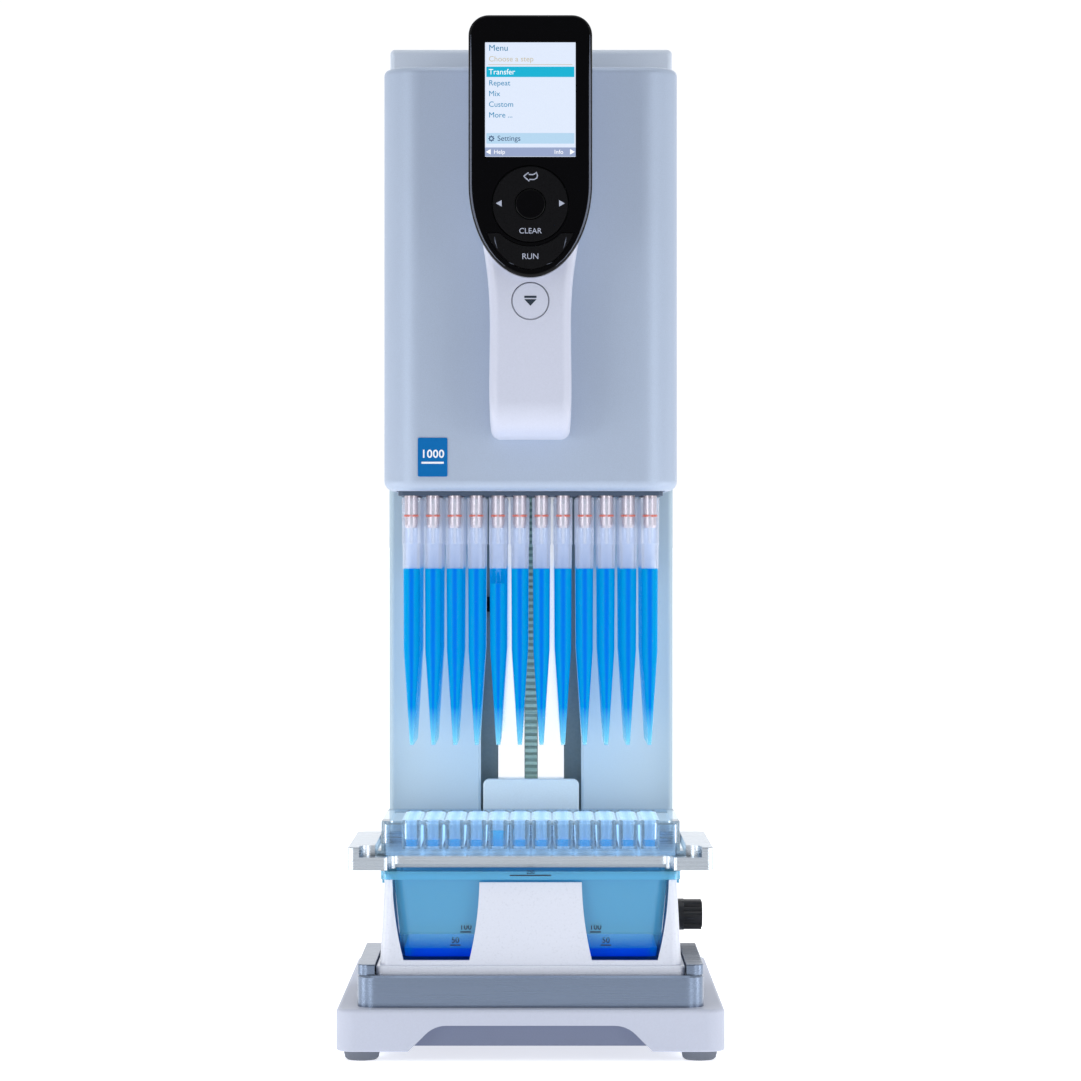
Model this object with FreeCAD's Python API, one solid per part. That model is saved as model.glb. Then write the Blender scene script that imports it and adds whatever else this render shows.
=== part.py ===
"""A 96-channel benchtop pipette, as an assembly of separate parts, in millimetres.

Row frame: +Z up, X across the front, -Y towards the operator. The origin is on the bench,
under the middle of the bounding box. At rest the pipetting head is at the top of its stroke.
"""

import FreeCAD, Part

import math
import os

from FreeCAD import Vector

# ---- Driving dimensions ----
PITCH = 9.0                 # channel spacing of the 96-well format
COLUMNS = 12
ROWS = 8
ARRAY_Y = -46.0             # depth position of the middle of the channel array
PLATE_X = 127.76            # microplate footprint
PLATE_Y = 85.48
NEST_GAP = 0.37             # play of a plate in its nest, each side

HALF_DEPTH = 126.0          # half of the overall depth

# Base
BASE_HALF_X = 79.85
BASE_FRONT = ARRAY_Y - 55.0
BASE_BOTTOM = 4.1
BASE_TOP = 21.5
BASE_CORNER = 8.0
PAN_HALF_X = 60.0
PAN_MARGIN = 6.0            # from the edge of the base to the pan, front and back
PAN_WALL = 2.0
DECK_SCREW_X = 50.0
FOOT_X = 69.5
FOOT_FRONT_Y = BASE_FRONT + 11.0
FOOT_REAR_Y = HALF_DEPTH - 12.0

# Lower deck, the aluminium block that the reservoir stands on
LOWER_HALF_X = 71.45
LOWER_FRONT = ARRAY_Y - 48.0
LOWER_REAR = 5.0
LOWER_FLOOR = 34.6
RAIL_HEIGHT = 4.3

# Upper deck, the sliding tray that carries the microplate
UPPER_HALF_X = 75.1
UPPER_FRONT = ARRAY_Y - 50.0
UPPER_RECESS = 12.0         # how far the middle of the front edge is set back
UPPER_BOTTOM = 78.1
UPPER_FLOOR = 83.4
ROD_X = 14.0                # the tray's two guide rods
ROD_Z = 84.0
ROD_R = 4.0
ROD_END = 116.0

# Tower
TOWER_HALF_X = 61.6
TOWER_FRONT = 5.5
TOWER_REAR = 124.0
TOWER_WALL = 3.0
TOWER_CAP = 412.0           # where the cap starts
TOWER_TOP = 427.0
SLOT_HALF_X = 21.8
BRACKET_TOP = 110.0
COVER_SCREW_Z = (70.0, 215.0, 400.0)
COVER_SCREW_X = 50.0

# Sockets and power switch, low on the back of the tower
SOCKET_Z = 44.0
INLET_X = -34.0
INLET_R = 5.5
PORT_X = -5.0
PORT_HALF_X = 6.9
PORT_HALF_Z = 3.5
ROCKER_X = 32.0
ROCKER_Y = 121.0
ROCKER_HALF_X = 7.0
ROCKER_HALF_Z = 10.0
ROCKER_TILT = 6.0           # degrees, pressed at the bottom

# Lift mechanism inside the tower
RAIL_IN = 2.9               # guide rails, from the middle outwards
RAIL_OUT = 14.3
RAIL_FRONT = 14.0
RAIL_BACK = 22.0
RAIL_BOTTOM = 94.0
RAIL_TOP = 390.0
SPINE_BACK = 30.0
SPINE_HALF_X = 30.0
PULLEY_Y = 26.0
DRIVE_Z = 49.5
IDLER_Z = 404.0
BELT_R = 8.0                # pitch radius of the belt on its pulleys
BELT_HALF_X = 2.6
BELT_HALF_T = 0.6
TOOTH_PITCH = 5.0
TOOTH_HEIGHT = 0.7
SHAFT_R = 2.5

# Pipetting head
HEAD_HALF_X = 60.7
HEAD_FRONT = ARRAY_Y - 46.0
HEAD_REAR = ARRAY_Y + 46.0
HEAD_BOTTOM = 234.0
HEAD_TOP = 408.7
HEAD_WALL = 2.5
HEAD_CORNER = 15.0
BACK_PLATE = 4.0            # thickness of the head's back plate
PLATE_INSET = 3.0           # from the head's outside to the edges of the plates inside it

# Channels
NOZZLE_R = 2.8
NOZZLE_END = 218.8
O_RING_Z = 223.9
TIP_TOP = 231.4
TIP_STEP = 212.0
TIP_SHOULDER = 168.0
TIP_END = 128.4
STRIPPER_BOTTOM = 232.2
STRIPPER_TOP = 235.4
NOZZLE_PLATE = (238.5, 245.0)
CYLINDER_TOP = 295.0
PISTON_R = 3.15
PISTON_BOTTOM = 288.0
PISTON_PLATE = (337.0, 343.0)
MOTOR_PLATE = (356.0, 361.0)
POST_X = 44.0
POST_Y = 39.0
POST_R = 2.5
SCREW_R = 3.5
RUNNING = 0.05              # radial clearance of a running fit

# Handset
HANDSET_FRONT = -HALF_DEPTH
FASCIA_BACK = HANDSET_FRONT + 7.0
HANDSET_TOP = 425.8
HANDSET_HALF_X = 25.0
SCREEN = (-18.5, 18.5, 368.3, 414.9)
WHEEL_Z = 349.4
WHEEL_R = 15.4
OK_R = 6.1
EJECT_Z = 310.8
EJECT_R = 7.5
HANDLE_FRONT = HANDSET_FRONT + 9.0
HANDLE_BOTTOM = 255.0
BUTTON_GAP = 0.25

# Microplate
WELL_R = 3.43
WELL_DEPTH = 10.9
PLATE_HEIGHT = 14.35


# ---- Helpers ----
def box(x0, x1, y0, y1, z0, z1):
    """A box between two corners."""
    return Part.makeBox(x1 - x0, y1 - y0, z1 - z0, Vector(x0, y0, z0))


def mid_box(half_x, y0, y1, z0, z1):
    """A box that is centred on the middle plane."""
    return box(-half_x, half_x, y0, y1, z0, z1)


def rod_x(r, x0, x1, y, z):
    return Part.makeCylinder(r, x1 - x0, Vector(x0, y, z), Vector(1, 0, 0))


def rod_y(r, y0, y1, x, z):
    return Part.makeCylinder(r, y1 - y0, Vector(x, y0, z), Vector(0, 1, 0))


def rod_z(r, z0, z1, x, y):
    return Part.makeCylinder(r, z1 - z0, Vector(x, y, z0), Vector(0, 0, 1))


def edges_where(shape, test):
    """The edges whose two ends and middle all meet a test."""
    found = []
    for edge in shape.Edges:
        points = [v.Point for v in edge.Vertexes]
        points.append(edge.valueAt((edge.FirstParameter + edge.LastParameter) / 2))
        if all(test(p) for p in points):
            found.append(edge)
    return found


def near(value, target):
    return abs(value - target) < 1e-4


def upright(shape, radius, test):
    """Rounds the upright edges that meet a test."""
    chosen = []
    for edge in edges_where(shape, test):
        a, b = edge.Vertexes[0].Point, edge.Vertexes[-1].Point
        if near(a.x, b.x) and near(a.y, b.y) and not near(a.z, b.z):
            chosen.append(edge)
    return shape.makeFillet(radius, chosen)


def channels():
    """The X and Y of each channel."""
    for column in range(COLUMNS):
        for row in range(ROWS):
            x = (column - (COLUMNS - 1) / 2) * PITCH
            y = ARRAY_Y + (row - (ROWS - 1) / 2) * PITCH
            yield x, y


def repeat(shape, places):
    """Copies of a shape, one at each X and Y."""
    made = []
    for x, y in places:
        copy = shape.copy()
        copy.translate(Vector(x, y, 0))
        made.append(copy)
    return made


def turned(profile):
    """A solid of revolution about Z, from a closed list of (radius, z) points."""
    points = [Vector(r, 0, z) for r, z in profile]
    points.append(points[0])
    face = Part.Face(Part.makePolygon(points))
    return face.revolve(Vector(0, 0, 0), Vector(0, 0, 1), 360)


def front_face(wire, y):
    """A flat face from a wire drawn in the XZ plane, moved to a depth."""
    face = Part.Face(wire)
    face.translate(Vector(0, y, 0))
    return face


def save(name, *shapes):
    """Writes the solids of one sub-part."""
    solids = [s for shape in shapes for s in shape.Solids]
    for s in solids:
        if not s.isValid() or s.Volume <= 0:
            print("BAD SOLID in", name)
    Part.makeCompound(solids).exportStep(f"parts/{name}.step")
    bounds = Part.makeCompound(solids).BoundBox
    print(f"{name:20s} {len(solids):3d} solids  X {bounds.XMin:.1f} {bounds.XMax:.1f}"
          f"  Y {bounds.YMin:.1f} {bounds.YMax:.1f}  Z {bounds.ZMin:.1f} {bounds.ZMax:.1f}")


# ---- Base ----
def arch_outline():
    """Half of the arch under the front of the base, as a wire from the middle outwards."""
    top, half_flat, radius = 14.9, 34.5, 12.0
    diagonal = math.sqrt(0.5)
    bend_x = half_flat + radius * diagonal
    bend_z = top - radius * (1 - diagonal)
    foot_x = bend_x + (bend_z - BASE_BOTTOM + 1)
    mid = Vector(half_flat + radius * math.sin(math.pi / 8), 0,
                 top - radius * (1 - math.cos(math.pi / 8)))
    right_bend = Vector(bend_x, 0, bend_z)
    right_flat = Vector(half_flat, 0, top)
    right_foot = Vector(foot_x, 0, BASE_BOTTOM - 1)

    def mirrored(p):
        return Vector(-p.x, 0, p.z)

    edges = [
        Part.LineSegment(mirrored(right_flat), right_flat).toShape(),
        Part.Arc(right_flat, mid, right_bend).toShape(),
        Part.LineSegment(right_bend, right_foot).toShape(),
        Part.LineSegment(right_foot, mirrored(right_foot)).toShape(),
        Part.LineSegment(mirrored(right_foot), mirrored(right_bend)).toShape(),
        Part.Arc(mirrored(right_bend), mirrored(mid), mirrored(right_flat)).toShape(),
    ]
    return Part.Wire(edges)


def base_parts():
    cover = mid_box(BASE_HALF_X, BASE_FRONT, HALF_DEPTH, BASE_BOTTOM, BASE_TOP)
    cover = upright(cover, BASE_CORNER, lambda p: True)
    cover = cover.makeFillet(1.6, edges_where(cover, lambda p: near(p.z, BASE_TOP)))
    cover = cover.makeFillet(0.8, edges_where(cover, lambda p: near(p.z, BASE_BOTTOM)))
    pan_front, pan_back = BASE_FRONT + PAN_MARGIN, HALF_DEPTH - PAN_MARGIN
    pocket_top = BASE_TOP - 4.0
    cover = cover.cut(mid_box(PAN_HALF_X + 0.5, pan_front - 0.5, pan_back + 0.5, 0, pocket_top))
    arch = front_face(arch_outline(), BASE_FRONT - 1).extrude(Vector(0, PAN_MARGIN + 2, 0))
    cover = cover.cut(arch)
    for x, y in deck_screw_places():
        cover = cover.cut(rod_z(2.2, 0, BASE_TOP + 1, x, y))
    save("base_cover", cover)

    pan = mid_box(PAN_HALF_X, pan_front, pan_back, 6.0, pocket_top)
    pan = pan.cut(mid_box(PAN_HALF_X - PAN_WALL, pan_front + PAN_WALL, pan_back - PAN_WALL,
                          6.0 + PAN_WALL, pocket_top + 1))
    save("base_pan", pan)

    foot = turned([(0, 0), (5.9, 0), (6.9, 0.9), (7.6, BASE_BOTTOM), (0, BASE_BOTTOM)])
    places = [(sx * FOOT_X, y) for sx in (-1, 1) for y in (FOOT_FRONT_Y, FOOT_REAR_Y)]
    save("rubber_feet", *repeat(foot, places))

    head_r, shank_r = 3.9, 2.0
    screw = turned([(0, 11), (head_r, 11), (head_r, pocket_top), (shank_r, pocket_top),
                    (shank_r, 30), (0, 30)])
    save("deck_screws", *repeat(screw, deck_screw_places()))


def deck_screw_places():
    """The X and Y of the screws that hold the lower deck from below."""
    return [(sx * DECK_SCREW_X, y) for sx in (-1, 1) for y in (LOWER_FRONT + 16, -18)]


def lower_deck_part():
    nest_half = PLATE_X / 2 + NEST_GAP
    nest_back = ARRAY_Y + PLATE_Y / 2 + NEST_GAP
    rail_front = LOWER_FRONT + 3.3
    rail_top = LOWER_FLOOR + RAIL_HEIGHT
    deck = mid_box(LOWER_HALF_X, LOWER_FRONT, LOWER_REAR, BASE_TOP, LOWER_FLOOR)
    deck = upright(deck, 8.0, lambda p: near(p.y, LOWER_FRONT))
    lip = edges_where(deck, lambda p: near(p.z, LOWER_FLOOR) and p.y < LOWER_FRONT + 8.1)
    deck = deck.makeChamfer(0.9, lip)
    rails = mid_box(LOWER_HALF_X, rail_front, LOWER_REAR, LOWER_FLOOR, rail_top)
    rails = upright(rails, 5.0, lambda p: near(p.y, rail_front))
    rails = rails.makeFillet(0.5, edges_where(rails, lambda p: near(p.z, rail_top)
                                              and near(abs(p.x), LOWER_HALF_X)))
    rails = rails.cut(mid_box(nest_half, LOWER_FRONT, nest_back, LOWER_FLOOR - 1, rail_top + 1))
    deck = deck.fuse(rails)
    for x, y in deck_screw_places():
        deck = deck.cut(rod_z(2.0, BASE_TOP - 1, 30, x, y))
    save("lower_deck", deck)


# ---- Reservoir on the lower deck ----
def tapered_box(bottom, top, z0, z1, y_mid, corner):
    """A box with rounded corners whose half sizes change from bottom (x, y) to top (x, y)."""
    wires = []
    for (hx, hy), z in ((bottom, z0), (top, z1)):
        flat = box(-hx, hx, y_mid - hy, y_mid + hy, z, z + 1)
        flat = upright(flat, corner, lambda p: True)
        face = min(flat.Faces, key=lambda f: f.CenterOfMass.z)
        wires.append(face.OuterWire)
    return Part.makeLoft(wires, True, True)


def window(side, z0, z1):
    """The outline of the front window on one side, wider at its top, with slightly bowed sides."""
    outer_low, outer_high = 52.5, 57.2
    inner_low, inner_high = 25.3, 21.1
    bow = 1.1
    middle = (z0 + z1) / 2

    def at(x, z):
        return Vector(side * x, 0, z)

    outer_middle = at((outer_low + outer_high) / 2 + bow, middle)
    inner_middle = at((inner_low + inner_high) / 2 - bow, middle)
    return Part.Wire([
        Part.Arc(at(outer_low, z0), outer_middle, at(outer_high, z1)).toShape(),
        Part.LineSegment(at(outer_high, z1), at(inner_high, z1)).toShape(),
        Part.Arc(at(inner_high, z1), inner_middle, at(inner_low, z0)).toShape(),
        Part.LineSegment(at(inner_low, z0), at(outer_low, z0)).toShape(),
    ])


def holder_part():
    """The white holder: a standard footprint, with windows on all four sides."""
    floor, flange_height = LOWER_FLOOR, 3.6
    sill, crown, rim = 40.3, 72.4, 75.0
    front, back = ARRAY_Y - PLATE_Y / 2, ARRAY_Y + PLATE_Y / 2
    flange = mid_box(PLATE_X / 2, front, back, floor, floor + flange_height)
    flange = upright(flange, 3.2, lambda p: True)
    flange = flange.makeFillet(0.9, edges_where(flange, lambda p: near(p.z, floor + flange_height)))
    body = tapered_box((62.3, 41.2), (60.4, 39.6), floor + 3.0, rim, ARRAY_Y, 4.0)
    hollow = tapered_box((60.2, 39.1), (58.5, 37.7), floor - 1, rim + 1, ARRAY_Y, 2.4)
    base = flange.fuse(body).cut(hollow)
    for side in (-1, 1):
        hole = front_face(window(side, sill, rim + 1), front - 10).extrude(Vector(0, 110, 0))
        base = base.cut(hole)
    base = base.cut(mid_box(22.3, front - 10, back + 10, crown, rim + 1))
    side_hole = box(-80, 80, ARRAY_Y - 24, ARRAY_Y + 24, sill + 8, rim - 9)
    along = [e for e in side_hole.Edges if near(e.Vertexes[0].Point.y, e.Vertexes[-1].Point.y)
             and near(e.Vertexes[0].Point.z, e.Vertexes[-1].Point.z)]
    base = base.cut(side_hole.makeFillet(6, along))
    save("reservoir_base", base)


def liner_part():
    """The clear trough that hangs in the holder by its rim."""
    bottom, top, floor_thickness = 39.6, 77.0, 1.4
    rim_thickness, rim_x, rim_y = 1.2, 62.0, 41.4
    under_rim = top - rim_thickness
    outer = tapered_box((53.6, 33.0), (57.0, 36.2), bottom, top, ARRAY_Y, 5.0)
    inner = tapered_box((52.4, 31.8), (55.9, 35.1), bottom + floor_thickness, top + 1, ARRAY_Y, 4.0)
    rim = mid_box(rim_x, ARRAY_Y - rim_y, ARRAY_Y + rim_y, under_rim, top)
    rim = upright(rim, 4.5, lambda p: True)
    skirt = mid_box(rim_x, ARRAY_Y - rim_y, ARRAY_Y + rim_y, top - 3.4, under_rim)
    skirt = upright(skirt, 4.5, lambda p: True)
    skirt_hole = mid_box(rim_x - 1, ARRAY_Y - rim_y + 1, ARRAY_Y + rim_y - 1, top - 4, under_rim)
    skirt_hole = upright(skirt_hole, 3.5, lambda p: True)
    tabs = [box(side * (rim_x - 0.5) - 0.5, side * (rim_x - 0.5) + 0.5,
                ARRAY_Y - 20, ARRAY_Y + 20, 70.6, under_rim) for side in (-1, 1)]
    save("reservoir_liner", outer.fuse([rim, skirt.cut(skirt_hole)] + tabs).cut(inner))


# ---- Upper deck and microplate ----
def deck_front_cut():
    """The plan outline of the recess in the front edge, from above."""
    y0, y1 = UPPER_FRONT, UPPER_FRONT + UPPER_RECESS
    ear, fillet = 58.6, 5.0
    inner = ear - fillet
    diagonal = math.sqrt(0.5)
    left = [Vector(-ear, y0 - 1, 0), Vector(-ear, y1 - fillet, 0),
            Vector(-ear + fillet * (1 - diagonal), y1 - fillet * (1 - diagonal), 0),
            Vector(-inner, y1, 0)]
    right = [Vector(-p.x, p.y, 0) for p in reversed(left)]
    return Part.Wire([
        Part.LineSegment(left[0], left[1]).toShape(),
        Part.Arc(*left[1:]).toShape(),
        Part.LineSegment(left[3], right[0]).toShape(),
        Part.Arc(*right[:3]).toShape(),
        Part.LineSegment(right[2], right[3]).toShape(),
        Part.LineSegment(right[3], left[0]).toShape(),
    ])


def upper_deck_parts():
    nest_half = PLATE_X / 2 + NEST_GAP
    nest_back = ARRAY_Y + PLATE_Y / 2 + NEST_GAP
    rear = nest_back + 3.4
    rail_top = UPPER_FLOOR + RAIL_HEIGHT
    deck = mid_box(UPPER_HALF_X, UPPER_FRONT, rear, UPPER_BOTTOM, rail_top)
    deck = upright(deck, 2.6, lambda p: near(p.y, UPPER_FRONT))
    deck = upright(deck, 4.0, lambda p: near(p.y, rear))
    deck = deck.makeFillet(0.5, edges_where(deck, lambda p: near(p.z, rail_top)))
    deck = deck.cut(mid_box(nest_half, UPPER_FRONT - 1, nest_back, UPPER_FLOOR, rail_top + 1))
    recess = Part.Face(deck_front_cut())
    recess.translate(Vector(0, 0, UPPER_BOTTOM - 1))
    deck = deck.cut(recess.extrude(Vector(0, 0, 20)))
    lead_in = mid_box(70.4, UPPER_FRONT - 1, UPPER_FRONT + UPPER_RECESS - 2, UPPER_FLOOR, 95)
    lead_in = upright(lead_in, 5.5, lambda p: near(p.y, UPPER_FRONT + UPPER_RECESS - 2))
    deck = deck.cut(lead_in)
    under = mid_box(56.0, UPPER_FRONT, UPPER_FRONT + UPPER_RECESS + 5.0, 70, UPPER_BOTTOM + 1.8)
    deck = deck.cut(under)
    ear_edges = edges_where(deck, lambda p: near(p.y, UPPER_FRONT) and near(abs(p.x), 58.6))
    deck = deck.makeFillet(2.0, ear_edges)
    tongue = mid_box(20.0, rear - 1.0, 4.6, UPPER_BOTTOM, 90.0)
    deck = deck.fuse(tongue)
    for side in (-1, 1):
        deck = deck.cut(rod_y(ROD_R, 0.6, 10, side * ROD_X, ROD_Z))
    save("upper_deck", deck)

    rods = []
    for side in (-1, 1):
        rod = rod_y(ROD_R, 0.6, ROD_END, side * ROD_X, ROD_Z)
        rods.append(rod.makeChamfer(0.8, edges_where(rod, lambda p: near(p.y, ROD_END))))
    save("deck_rods", *rods)


def microplate_part():
    """A standard 96-well plate: a skirted rim round separate round wells."""
    floor, top = UPPER_FLOOR, UPPER_FLOOR + PLATE_HEIGHT
    flange = mid_box(PLATE_X / 2, ARRAY_Y - PLATE_Y / 2, ARRAY_Y + PLATE_Y / 2, floor, floor + 2.2)
    flange = upright(flange, 3.2, lambda p: True)
    flange = flange.makeChamfer(0.7, edges_where(flange, lambda p: near(p.z, floor + 2.2)))
    body = mid_box(61.8, ARRAY_Y - 40.7, ARRAY_Y + 40.7, floor, top)
    body = upright(body, 3.6, lambda p: True)
    body = body.makeFillet(0.5, edges_where(body, lambda p: near(p.z, top)))
    hollow = mid_box(60.6, ARRAY_Y - 39.5, ARRAY_Y + 39.5, floor - 1, top - 1.6)
    hollow = upright(hollow, 2.4, lambda p: True)
    rim = mid_box(58.2, ARRAY_Y - 38.2, ARRAY_Y + 38.2, top - 0.8, top + 1)
    rim = upright(rim, 3.0, lambda p: True)
    well_top = top - 0.8
    tube = turned([(0, top - WELL_DEPTH - 1.1), (3.85, top - WELL_DEPTH - 1.1),
                   (4.1, well_top - 0.4), (0, well_top - 0.4)])
    well = turned([(0, top - WELL_DEPTH), (WELL_R - 0.25, top - WELL_DEPTH),
                   (WELL_R, top + 1), (0, top + 1)])
    collar = turned([(0, well_top - 0.2), (4.15, well_top - 0.2), (3.95, top - 0.2), (0, top - 0.2)])
    tubes = repeat(tube, channels()) + repeat(collar, channels())
    plate = flange.fuse(body).cut(hollow).cut(rim).fuse(tubes)
    plate = plate.cut(Part.makeCompound(repeat(well, channels())))
    save("microplate", plate)


# ---- Tower ----
def tower_panels():
    """The two front panels, on each side of the slot that the carriage runs in."""
    for name, side in (("tower_front_left", -1), ("tower_front_right", 1)):
        x0, x1 = sorted((side * SLOT_HALF_X, side * TOWER_HALF_X))
        panel = box(x0, x1, TOWER_FRONT, TOWER_FRONT + TOWER_WALL, BASE_TOP, TOWER_CAP)
        panel = upright(panel, 2.2, lambda p, s=side: near(p.x, s * TOWER_HALF_X)
                        and near(p.y, TOWER_FRONT))
        slot_edge = edges_where(panel, lambda p, s=side: near(p.x, s * SLOT_HALF_X)
                                and near(p.y, TOWER_FRONT))
        save(name, panel.makeChamfer(1.2, slot_edge))


def rear_cover_parts():
    """The back and sides of the tower, with their vents, socket openings and screws."""
    join = TOWER_FRONT + TOWER_WALL
    inner_back = TOWER_REAR - TOWER_WALL
    cover = mid_box(TOWER_HALF_X, join, TOWER_REAR, BASE_TOP, TOWER_CAP)
    cover = upright(cover, 7.0, lambda p: near(p.y, TOWER_REAR))
    inside = mid_box(TOWER_HALF_X - TOWER_WALL, join - 1, inner_back, BASE_TOP - 1, TOWER_CAP + 1)
    inside = upright(inside, 4.0, lambda p: near(p.y, inner_back))
    cover = cover.cut(inside)
    cover = cover.cut(rod_x(3.2, 50, 70, PULLEY_Y, DRIVE_Z))
    cover = cover.cut(rod_y(INLET_R + 0.1, 100, 130, INLET_X, SOCKET_Z))
    cover = cover.cut(box(PORT_X - PORT_HALF_X - 0.1, PORT_X + PORT_HALF_X + 0.1, 100, 130,
                          SOCKET_Z - PORT_HALF_Z - 0.1, SOCKET_Z + PORT_HALF_Z + 0.1))
    cover = cover.cut(box(ROCKER_X - ROCKER_HALF_X - 0.4, ROCKER_X + ROCKER_HALF_X + 0.4, 100, 130,
                          SOCKET_Z - ROCKER_HALF_Z - 0.7, SOCKET_Z + ROCKER_HALF_Z + 0.7))
    vents = []
    for row in range(9):
        low = 330 + 6 * row
        vent = mid_box(26, TOWER_REAR - 5, TOWER_REAR + 1, low, low + 2.4)
        vents.append(vent.makeFillet(1.15, [e for e in vent.Edges if near(e.Length, 6)]))
    cover = cover.cut(vents)
    places = [(sx * COVER_SCREW_X, z) for sx in (-1, 1) for z in COVER_SCREW_Z]
    screws = []
    for x, z in places:
        cover = cover.cut(rod_y(1.7, 110, 130, x, z))
        head = rod_y(3.2, TOWER_REAR, TOWER_REAR + 1.6, x, z)
        head = head.cut(rod_y(1.4, TOWER_REAR + 0.6, TOWER_REAR + 2, x, z))
        shank = rod_y(1.6, TOWER_REAR - 9, TOWER_REAR, x, z)
        screws.append(head.fuse(shank).removeSplitter())
    save("tower_rear_cover", cover)
    save("tower_screws", *screws)


def tower_cap_part():
    half_x = TOWER_HALF_X - 0.4
    cap = mid_box(half_x, TOWER_FRONT, TOWER_REAR, TOWER_CAP, TOWER_TOP)
    cap = upright(cap, 7.0, lambda p: near(p.y, TOWER_REAR))
    cap = upright(cap, 2.2, lambda p: near(p.y, TOWER_FRONT))
    cap = cap.makeFillet(2.0, edges_where(cap, lambda p: near(p.z, TOWER_TOP)))
    hollow = mid_box(half_x - TOWER_WALL, TOWER_FRONT + TOWER_WALL, TOWER_REAR - TOWER_WALL,
                     TOWER_CAP - 1, TOWER_TOP - TOWER_WALL)
    save("tower_cap", cap.cut(hollow))


def bracket_parts():
    """The block low on the tower that carries the sliding deck's rods in two bushings."""
    front, back, half_x = TOWER_FRONT - 0.3, 9.0, 20.8
    boss_back = RAIL_BACK - 0.2
    bracket = mid_box(half_x, front, back, BASE_TOP + 0.5, BRACKET_TOP)
    corners = edges_where(bracket, lambda p: near(p.z, BRACKET_TOP) and near(abs(p.x), half_x))
    bracket = bracket.makeFillet(2.6, corners)
    bracket = bracket.makeFillet(0.7, edges_where(bracket, lambda p: near(p.y, front)))
    bushings = []
    for side in (-1, 1):
        bracket = bracket.fuse(rod_y(7.6, 8.0, boss_back, side * ROD_X, ROD_Z))
    for side in (-1, 1):
        bracket = bracket.cut(rod_y(6.0, 7.0, 30, side * ROD_X, ROD_Z))
        bracket = bracket.cut(rod_y(4.4, 0, 30, side * ROD_X, ROD_Z))
        bush = rod_y(6.0, 7.0, boss_back, side * ROD_X, ROD_Z)
        bushings.append(bush.cut(rod_y(ROD_R + RUNNING, 0, 30, side * ROD_X, ROD_Z)))
    save("deck_bracket", bracket)
    save("deck_bushings", *bushings)


def socket_parts():
    """The power inlet, the data port and the rocker of the power switch."""
    inlet = rod_y(INLET_R, 112, TOWER_REAR + 0.4, INLET_X, SOCKET_Z)
    inlet = inlet.cut(rod_y(3.2, 114, 130, INLET_X, SOCKET_Z))
    inlet = inlet.fuse(rod_y(1.0, 113, 122.5, INLET_X, SOCKET_Z))
    inlet = inlet.fuse(box(INLET_X - 6.5, INLET_X + 6.5, 110.5, 113, SOCKET_Z - 6.5, SOCKET_Z + 6.5))
    save("power_inlet", inlet.removeSplitter())

    def port_box(inset, y0, y1):
        return box(PORT_X - PORT_HALF_X + inset, PORT_X + PORT_HALF_X - inset, y0, y1,
                   SOCKET_Z - PORT_HALF_Z + inset, SOCKET_Z + PORT_HALF_Z - inset)

    port = port_box(0, 112, TOWER_REAR + 0.3).cut(port_box(1, 114, 130))
    tongue = box(PORT_X - 5, PORT_X + 5, 113, 121.5, SOCKET_Z - 1.2, SOCKET_Z + 0.4)
    save("data_port", port.fuse(tongue).removeSplitter())

    left, back = ROCKER_X - ROCKER_HALF_X, TOWER_REAR + 0.7
    corners = [(ROCKER_Y - 3, 1 - ROCKER_HALF_Z), (back, -ROCKER_HALF_Z), (back - 1.2, 0),
               (back, ROCKER_HALF_Z), (ROCKER_Y - 3, ROCKER_HALF_Z - 1)]
    side_view = [Vector(left, y, SOCKET_Z + z) for y, z in corners]
    rocker = Part.Face(Part.makePolygon(side_view + side_view[:1]))
    rocker = rocker.extrude(Vector(2 * ROCKER_HALF_X, 0, 0))
    rocker.rotate(Vector(0, ROCKER_Y, SOCKET_Z), Vector(1, 0, 0), ROCKER_TILT)
    pivot = rod_x(1.5, left - 0.25, left + 2 * ROCKER_HALF_X + 0.25, ROCKER_Y, SOCKET_Z)
    save("power_rocker", rocker.fuse(pivot))


def control_board_part():
    board = mid_box(46, 100, 101.6, 130, 320)
    chips = [box(-40, -10, 94, 100, 140, 180), box(0, 22, 97.5, 100, 200, 222),
             box(-36, -24, 90, 100, 230, 290), box(26, 40, 92, 100, 150, 175)]
    save("control_board", board, *chips)


# ---- Lift mechanism ----
def belt_teeth(z0, z1, y, out):
    """Ribs across a straight run of the belt, on the side that out points to."""
    ribs = []
    count = int((z1 - z0) / TOOTH_PITCH)
    for n in range(count):
        z = z0 + (n + 0.5) * TOOTH_PITCH
        edge = y + out * BELT_HALF_T
        near_y, far_y = sorted((edge - out * 0.1, edge + out * TOOTH_HEIGHT))
        ribs.append(mid_box(BELT_HALF_X, near_y, far_y, z - 1.3, z + 1.3))
    return ribs


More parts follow.
